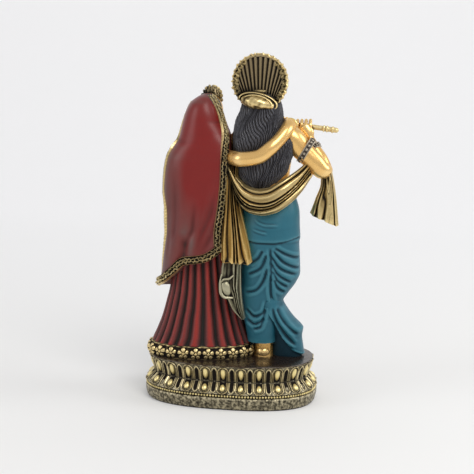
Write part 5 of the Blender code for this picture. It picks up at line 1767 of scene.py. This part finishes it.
class STATUE_OT_krishna(bpy.types.Operator):
    """Add Krishna's head, body, arms, hands, feet and flute"""

    bl_idname = "statue.krishna"
    bl_label = "Krishna"
    bl_options = {"REGISTER", "UNDO"}

    def execute(self, context):
        paints()
        add_form("krishna_head", head_grid(KRISHNA_HEAD), "gold skin")
        face_marks("krishna", KRISHNA_HEAD)
        angles = ring_angles(120)
        heights = np.linspace(152, 223, 74)[:, None]
        add_form("krishna_body", upright(KRISHNA_TORSO, heights, angles), "gold skin")
        limb("krishna_right_arm", KRISHNA_RIGHT_ARM, 48, 110)
        limb("krishna_left_arm", KRISHNA_LEFT_ARM, 48, 110)
        limb("krishna_right_palm", KRISHNA_RIGHT_PALM, 32, 24)
        limb("krishna_left_palm", KRISHNA_LEFT_PALM, 32, 24)
        fingers("krishna_right_fingers", KRISHNA_RIGHT_FINGERS)
        fingers("krishna_left_fingers", KRISHNA_LEFT_FINGERS)
        line_tube("krishna_right_thumb", KRISHNA_THUMB, 1.8, 1.7, "gold skin", 0.0, 16, 20)
        for side, foot in (("left", KRISHNA_LEFT_FOOT), ("right", KRISHNA_RIGHT_FOOT)):
            limb(f"krishna_{side}_foot", foot, 40, 40)
            toes(f"krishna_{side}_toes", foot)
        add_form("krishna_ankle", tube(ANKLE, 64, 30, False), "gold skin")
        string_beads("krishna_necklace", along(KRISHNA_NECKLACE, 60), 1.9, 2.1, "boss gold")
        string_beads("krishna_garland", along(KRISHNA_GARLAND, 90), 2.8, 2.7)
        flute = tube(FLUTE, 28, 170)
        share = (flute[..., 0].mean(axis=1) - FLUTE[0][0]) / (FLUTE[1][0] - FLUTE[0][0])
        relief = np.zeros(len(share))
        for at in FLUTE_RINGS:
            relief += 0.75 * bump(share, 0, at, 0, 0.010, 1)
        flute = raised(flute, (relief - 0.12)[:, None] + 0 * flute[..., 0])
        add_form("flute", flute, "rim gold")
        self.armlet("krishna_armlet", ARMLET, 9)
        self.armlet("krishna_wristlet", WRISTLET, 7)
        return {"FINISHED"}

    def armlet(self, name, path, studs):
        grid = tube(path, 120, 26, False)
        share = np.linspace(0, 1, 26)[:, None]
        rims = bump(share, 0, 0.1, 0, 0.09, 1) + bump(share, 0, 0.9, 0, 0.09, 1)
        angles = ring_angles(120)[None, :]
        beads = np.abs(np.cos(angles * studs)) ** 2 * np.exp(-(((share - 0.5) / 0.2) ** 2))
        grid = raised(grid, 0.55 * rims + 0.75 * beads - 0.45)
        add_form(name, grid, "dark silver")


class STATUE_OT_dhoti(bpy.types.Operator):
    """Add Krishna's wrapped dhoti and its trailing end"""

    bl_idname = "statue.dhoti"
    bl_label = "Dhoti"
    bl_options = {"REGISTER", "UNDO"}

    def execute(self, context):
        paints()
        sizes = context.scene.statue_sizes
        depth = sizes.fold_depth / MM
        angles = ring_angles(210)
        heights = np.linspace(46, 166, 160)[:, None]
        grid = upright(DHOTI, heights, angles)
        relief, grooves, rolls = folds(grid, DHOTI_FOLDS, depth * 0.95, 1.15, 0.16)
        light, pale, _ = folds(grid, DHOTI_WRINKLES, depth * -0.35, 0.7, 0.3)
        relief += light + self.wrap_edge(grid) + self.front_pleats(grid)
        x, y, z = np.moveaxis(grid, -1, 0)
        relief += 0.35 * ripple(x, y, z * 0.5, 31, 3.5)
        faded = np.clip(0.8 * ripple(x, y, z * 0.6, 33, 4.0), 0, 1)
        # Painted highlights: pale strokes on the raised wrinkles and on the rolls beside the folds, over a
        # faded tone
        worn = np.clip(faded * 0.5 + pale + rolls * 0.7 * (1 - grooves), 0, 1)
        cloth = marked(wrap("krishna_dhoti", raised(grid, relief)), stain=grooves * 0.2, worn=worn)
        add_piece("krishna_dhoti", cloth, "dhoti teal")
        angles = ring_angles(180)
        heights = np.linspace(33, 86, 68)[:, None]
        grid = upright(TAIL, heights, angles)
        relief, grooves, rolls = folds(grid, TAIL_FOLDS, depth * 1.1, 1.3, 0.14)
        edge = np.interp(-grid[..., 0], *zip(*TAIL_EDGE))
        above = grid[..., 2] - edge
        # Painted shadow: below the tail's edge the cloth is sunk and painted dark
        under = np.clip(-above / 1.2, 0, 1)
        # Painted highlight: a pale line along the tail's edge
        rim = np.exp(-(((above - 0.5) / 0.8) ** 2))
        grid = raised(grid, relief * (1 - under) - 1.4 * under + 0.5 * rim)
        stain = np.clip(grooves * 0.7 * (1 - rim) + 1.2 * under, 0, 1)
        worn = np.clip(rim * 0.9 + rolls * 0.7 * (1 - grooves), 0, 1)
        tail = marked(wrap("dhoti_tail", grid), stain=stain, worn=worn)
        add_piece("dhoti_tail", tail, "dhoti teal")
        return {"FINISHED"}

    def wrap_edge(self, grid):
        """The wrap over the hips ends in a soft sagging edge above the folded legs."""
        table = np.array(DHOTI_WRAP_EDGE)
        height = smooth(table[:, 0], table[:, 1:], np.clip(grid[..., 0], -51, -6))[..., 0]
        above = grid[..., 2] - height
        behind = np.clip(grid[..., 1] / 6.0, 0, 1)
        step = 0.55 * np.clip(above / 0.8 + 0.5, 0, 1) * np.clip(1 - above / 9.0, 0, 1)
        return (step - 0.45 * np.exp(-(((above + 0.9) / 0.8) ** 2))) * behind

    def front_pleats(self, grid):
        """Plain hanging pleats on the front."""
        ahead = np.clip(-grid[..., 1] / 6.0, 0, 1)
        fall = np.clip((150 - grid[..., 2]) / 30.0, 0, 1)
        wave = np.abs(np.sin((grid[..., 0] + 26) * 0.42 + (grid[..., 2] - 100) * 0.012)) ** 0.7
        return (wave - 0.6) * 1.4 * ahead * fall


class STATUE_OT_scarf(bpy.types.Operator):
    """Add Krishna's scarf: the swag, the hanging bundle, its curled end and the drop from the arm"""

    bl_idname = "statue.scarf"
    bl_label = "Scarf"
    bl_options = {"REGISTER", "UNDO"}

    def execute(self, context):
        paints()
        for name, upper, lower, rows, thick, bulge, pleats, depth, seed, ragged, roll, coat in SCARF_STRIPS:
            grid, tone = ribbon(upper, lower, rows, thick, bulge, pleats, depth, seed, ragged, roll)
            shade = np.clip(tone, 0, 1) * 0.65
            strip = marked(wrap(name, grid), stain=shade, worn=np.clip(-tone, 0, 1))
            add_piece(name, strip, coat)
        line_tube("scarf_curl", SCARF_CURL, 1.3, 1.3, "pale scarf", 0.35, 60, 24)
        line_tube("scarf_hook", SCARF_HOOK, 0.9, 0.9, "pale scarf", 0.4, 40, 20)
        cup = tilted(ball(CUP_CENTRE, CUP_REACH, 60, 36), CUP_TILT, CUP_CENTRE)
        cup = raised(cup, 0.25 * ripple(cup[..., 0], cup[..., 1], cup[..., 2], 6, 1.6))
        add_form("scarf_cup", cup, "pale scarf")
        belt = upright(DHOTI, np.linspace(*DHOTI_BELT, 24)[:, None], ring_angles(180))
        rims = bump(belt[..., 2], 0, 160.2, 0, 0.8, 1) + bump(belt[..., 2], 0, 164.8, 0, 0.8, 1)
        belt = raised(belt, np.where(belt[..., 1] > -3, -2.0, 0.8 + 0.5 * rims))
        add_form("krishna_belt", belt, "antique gold")
        return {"FINISHED"}


def vertex_values(mesh, name, values):
    attribute = mesh.attributes.get(name) or mesh.attributes.new(name, "FLOAT", "POINT")
    attribute.data.foreach_set("value", values.astype(np.float32))


def averaged(values, edges, degree, times):
    """Values of the vertices after blending each with its neighbours a number of times."""
    count = len(values)
    for _ in range(times):
        total = np.empty_like(values)
        for axis in range(values.shape[1]):
            from_second = np.bincount(edges[:, 0], values[edges[:, 1], axis], count)
            from_first = np.bincount(edges[:, 1], values[edges[:, 0], axis], count)
            total[:, axis] = from_second + from_first
        values = (values + total) / (degree + 1)[:, None]
    return values


def hollow_and_height(points, normals, edges, reach):
    """How far each vertex lies under the blurred surface: above 0 in hollows, below 0 on ridges."""
    step = np.linalg.norm(points[edges[:, 0]] - points[edges[:, 1]], axis=1).mean()
    times = int(np.clip(round(2 * (reach / step) ** 2), 1, 40))
    degree = np.bincount(edges.ravel(), minlength=len(points))
    blurred = averaged(points, edges, degree, times)
    return np.einsum("ij,ij->i", blurred - points, normals)


def crowding(clouds):
    """A block of cells that tells which ones hold the surface of a piece."""
    low, high = np.asarray(ROOM)
    block = np.zeros(np.ceil((high - low) / VOXEL).astype(int), bool)
    for points in clouds:
        cell = ((points - low) / VOXEL).astype(int)
        block[tuple(cell.T)] = True
    return block


def shelter(points, normals, block):
    """Share of the directions around each vertex's normal that are blocked close by, which becomes painted
    shade.
    """
    low = np.asarray(ROOM[0])
    chance = np.random.default_rng(7)
    ways = chance.normal(size=(14, 3))
    ways /= np.linalg.norm(ways, axis=1, keepdims=True)
    blocked = np.zeros(len(points))
    for way in ways:
        leaning = normals * 1.25 + way
        leaning /= np.linalg.norm(leaning, axis=1, keepdims=True)
        hit = np.zeros(len(points))
        for reach in MARCH:
            cell = ((points + leaning * reach - low) / VOXEL).astype(int)
            cell = np.clip(cell, 0, np.array(block.shape) - 1)
            found = block[tuple(cell.T)] * (1 - 0.09 * reach)
            hit = np.maximum(hit, found)
        blocked += hit
    return blocked / len(ways)


class STATUE_OT_wash_and_shade(bpy.types.Operator):
    """Work out where the dark wash and painted shade gather and where rubbed paint and painted highlights
    brighten it
    """

    bl_idname = "statue.wash"
    bl_label = "Wash"
    bl_options = {"REGISTER", "UNDO"}

    def taken(self, mesh, name):
        """A mark's values, with the mark then removed from the mesh."""
        mark = mesh.attributes.get(name)
        if mark is None:
            return 0.0
        values = np.empty(len(mesh.vertices), dtype=np.float32)
        mark.data.foreach_get("value", values)
        mesh.attributes.remove(mark)
        return values

    def execute(self, context):
        clouds = [mesh_points(piece.data) / MM for piece in PAINTED]
        block = crowding(clouds)
        for piece, points in zip(PAINTED, clouds):
            mesh = piece.data
            normals = np.empty(len(points) * 3)
            mesh.vertices.foreach_get("normal", normals)
            normals = normals.reshape(-1, 3)
            edges = np.empty(len(mesh.edges) * 2, dtype=np.int32)
            mesh.edges.foreach_get("vertices", edges)
            edges = edges.reshape(-1, 2)
            fine = hollow_and_height(points, normals, edges, FINE_BLUR)
            broad = hollow_and_height(points, normals, edges, BROAD_BLUR)
            near = shelter(points, normals, block)
            degree = np.bincount(edges.ravel(), minlength=len(points))
            near = averaged(near[:, None], edges, degree, SHELTER_BLENDS)[:, 0]
            recess = np.clip(fine / 0.16, 0, 1) * 0.6 + np.clip(broad / 0.45, 0, 1) * 0.7
            # Painted shade where nearby surfaces shelter the vertex
            recess += np.clip((near - 0.22) / 0.5, 0, 1) * 0.9
            ridge = np.clip(-fine / 0.14, 0, 1) * 0.6 + np.clip(-broad / 0.4, 0, 1) * 0.5
            ridge = ridge + self.taken(mesh, "worn")
            recess = recess + self.taken(mesh, "stain")
            vertex_values(mesh, "recess", np.clip(recess, 0, 1))
            vertex_values(mesh, "ridge", np.clip(ridge - recess * 0.6, 0, 1))
        return {"FINISHED"}


def studio_paint(near, far):
    """A pale, matt paint for the floor that grows lighter with the mark named far: painted shade by the
    object, and a slight painted glow.
    """
    coat = bpy.data.materials.new("studio white")
    coat.use_nodes = True
    tree = coat.node_tree
    shader = tree.nodes["Principled BSDF"]
    colour = mix_colour(tree, attribute_node(tree.nodes, "far").outputs["Fac"], near, far)
    tree.links.new(colour, shader.inputs["Base Color"])
    tree.links.new(colour, shader.inputs["Emission Color"])
    # Painted glow: the floor gives off light in its own colour, though it is no lamp
    shader.inputs["Emission Strength"].default_value = 0.2
    shader.inputs["Roughness"].default_value = 0.9
    return coat


class STATUE_OT_studio(bpy.types.Operator):
    """Set the floor, the backdrop, the lights and the camera"""

    bl_idname = "statue.studio"
    bl_label = "Studio"
    bl_options = {"REGISTER", "UNDO"}

    def execute(self, context):
        plan = context.scene.studio_plan
        context.scene.view_settings.view_transform = "Standard"
        self.camera(context.scene, plan)
        self.backdrop(plan)
        self.lights(plan)
        return {"FINISHED"}

    def axes(self, plan):
        """The camera's way back, to its right and up."""
        turn = math.radians(180 + plan.yaw)
        tilt = math.radians(plan.pitch)
        back = Vector((math.sin(turn) * math.cos(tilt), -math.cos(turn) * math.cos(tilt), math.sin(tilt)))
        right = (-back).cross(Vector((0, 0, 1))).normalized()
        up = right.cross(-back)
        roll = math.radians(plan.roll)
        level = right * math.cos(roll) + up * math.sin(roll)
        return back, level, up * math.cos(roll) - right * math.sin(roll)

    def camera(self, scene, plan):
        back, right, up = self.axes(plan)
        place = Vector((0, 0, plan.target_height)) + back * plan.distance + right * plan.shift_aside
        lens = bpy.data.cameras.new("camera")
        lens.lens = lens.sensor_width * plan.distance / plan.field
        holder = bpy.data.objects.new("camera", lens)
        holder.matrix_world = Matrix(
            [[*row, at] for row, at in zip(zip(right, up, back), place)] + [[0, 0, 0, 1]]
        )
        scene.collection.objects.link(holder)
        scene.camera = holder

    def backdrop(self, plan):
        """A pale floor that curves up into a wall behind the statuette."""
        turn = math.radians(plan.yaw)
        away = np.array([math.sin(turn), -math.cos(turn), 0.0])
        aside = np.array([math.cos(turn), math.sin(turn), 0.0])
        profile = [(-3.0, 0.0)]
        profile += [(run, 0.0) for run in np.linspace(0.0, 0.9, 10)]
        for swing in np.linspace(0, math.pi / 2, 13)[1:]:
            profile.append((0.9 + 0.6 * math.sin(swing), 0.6 - 0.6 * math.cos(swing)))
        profile.append((1.5, 3.0))
        points = []
        for run, height in profile:
            for width in (-2.5, 2.5):
                points.append(tuple(away * run + aside * width + np.array([0, 0, height])))
        faces = [(2 * k, 2 * k + 1, 2 * k + 3, 2 * k + 2) for k in range(len(profile) - 1)]
        mesh = bpy.data.meshes.new("studio_floor")
        mesh.from_pydata(points, [], faces)
        mesh.shade_smooth()
        far = np.repeat([min(1.0, max(0.0, (run - 0.1) / 0.8)) for run, _ in profile], 2)
        vertex_values(mesh, "far", far)
        mesh.materials.append(studio_paint(FLOOR_NEAR, FLOOR_FAR))
        floor = bpy.data.objects.new("studio_floor", mesh)
        bpy.context.scene.collection.objects.link(floor)

    def lights(self, plan):
        world = bpy.data.worlds.new("studio")
        world.use_nodes = True
        glow = world.node_tree.nodes["Background"]
        glow.inputs["Color"].default_value = ROOM_LIGHT
        glow.inputs["Strength"].default_value = ROOM_STRENGTH
        bpy.context.scene.world = world
        back, right, _ = self.axes(plan)
        lamps = (
            ("key", back * 0.9 + right * 0.40 + Vector((0, 0, 1.0)), 0.7, 8.0, (1.0, 0.98, 0.95)),
            ("left fill", back * 0.5 - right * 1.2 + Vector((0, 0, 0.6)), 0.7, 3.6, (1.0, 1.0, 1.0)),
            ("right rim", back * 0.1 + right * 1.1 + Vector((0, 0, 0.7)), 0.6, 4.6, (1.0, 1.0, 1.0)),
        )
        for name, place, size, power, colour in lamps:
            light = bpy.data.lights.new(name, "AREA")
            light.size = size
            light.energy = power
            light.color = colour
            holder = bpy.data.objects.new(name, light)
            holder.location = place
            aim = Vector((0, 0, AIM_HEIGHT)) - place
            holder.rotation_euler = aim.to_track_quat("-Z", "Y").to_euler()
            bpy.context.scene.collection.objects.link(holder)


class STATUE_PT_panel(bpy.types.Panel):
    """Sizes, paints and steps of the statuette"""

    bl_label = "Statuette"
    bl_idname = "STATUE_PT_panel"
    bl_space_type = "VIEW_3D"
    bl_region_type = "UI"
    bl_category = "Statuette"

    def draw(self, context):
        layout = self.layout
        for group in (context.scene.statue_sizes, context.scene.statue_paints, context.scene.studio_plan):
            box = layout.box()
            for name in type(group).__annotations__:
                box.prop(group, name)
        for step in STEPS:
            layout.operator(step.bl_idname)


STEPS = (
    STATUE_OT_plinth,
    STATUE_OT_petals,
    STATUE_OT_skirt,
    STATUE_OT_veil,
    STATUE_OT_radha,
    STATUE_OT_krishna,
    STATUE_OT_dhoti,
    STATUE_OT_hair,
    STATUE_OT_crown,
    STATUE_OT_scarf,
    STATUE_OT_wash_and_shade,
    STATUE_OT_studio,
)
GROUPS = (("statue_sizes", StatueSizes), ("statue_paints", StatuePaints), ("studio_plan", StudioPlan))


def register():
    for _, group in GROUPS:
        bpy.utils.register_class(group)
    for step in STEPS:
        bpy.utils.register_class(step)
    bpy.utils.register_class(STATUE_PT_panel)
    for name, group in GROUPS:
        setattr(bpy.types.Scene, name, PointerProperty(type=group))


def unregister():
    for name, _ in GROUPS:
        delattr(bpy.types.Scene, name)
    for item in (STATUE_PT_panel, *reversed(STEPS), *(group for _, group in GROUPS)):
        bpy.utils.unregister_class(item)


def main():
    register()
    bpy.ops.statue.plinth()
    bpy.ops.statue.petals()
    bpy.ops.statue.skirt()
    bpy.ops.statue.veil()
    bpy.ops.statue.radha()
    bpy.ops.statue.krishna()
    bpy.ops.statue.dhoti()
    bpy.ops.statue.hair()
    bpy.ops.statue.crown()
    bpy.ops.statue.scarf()
    bpy.ops.statue.wash()
    bpy.ops.statue.studio()


if __name__ == "__main__":
    main()
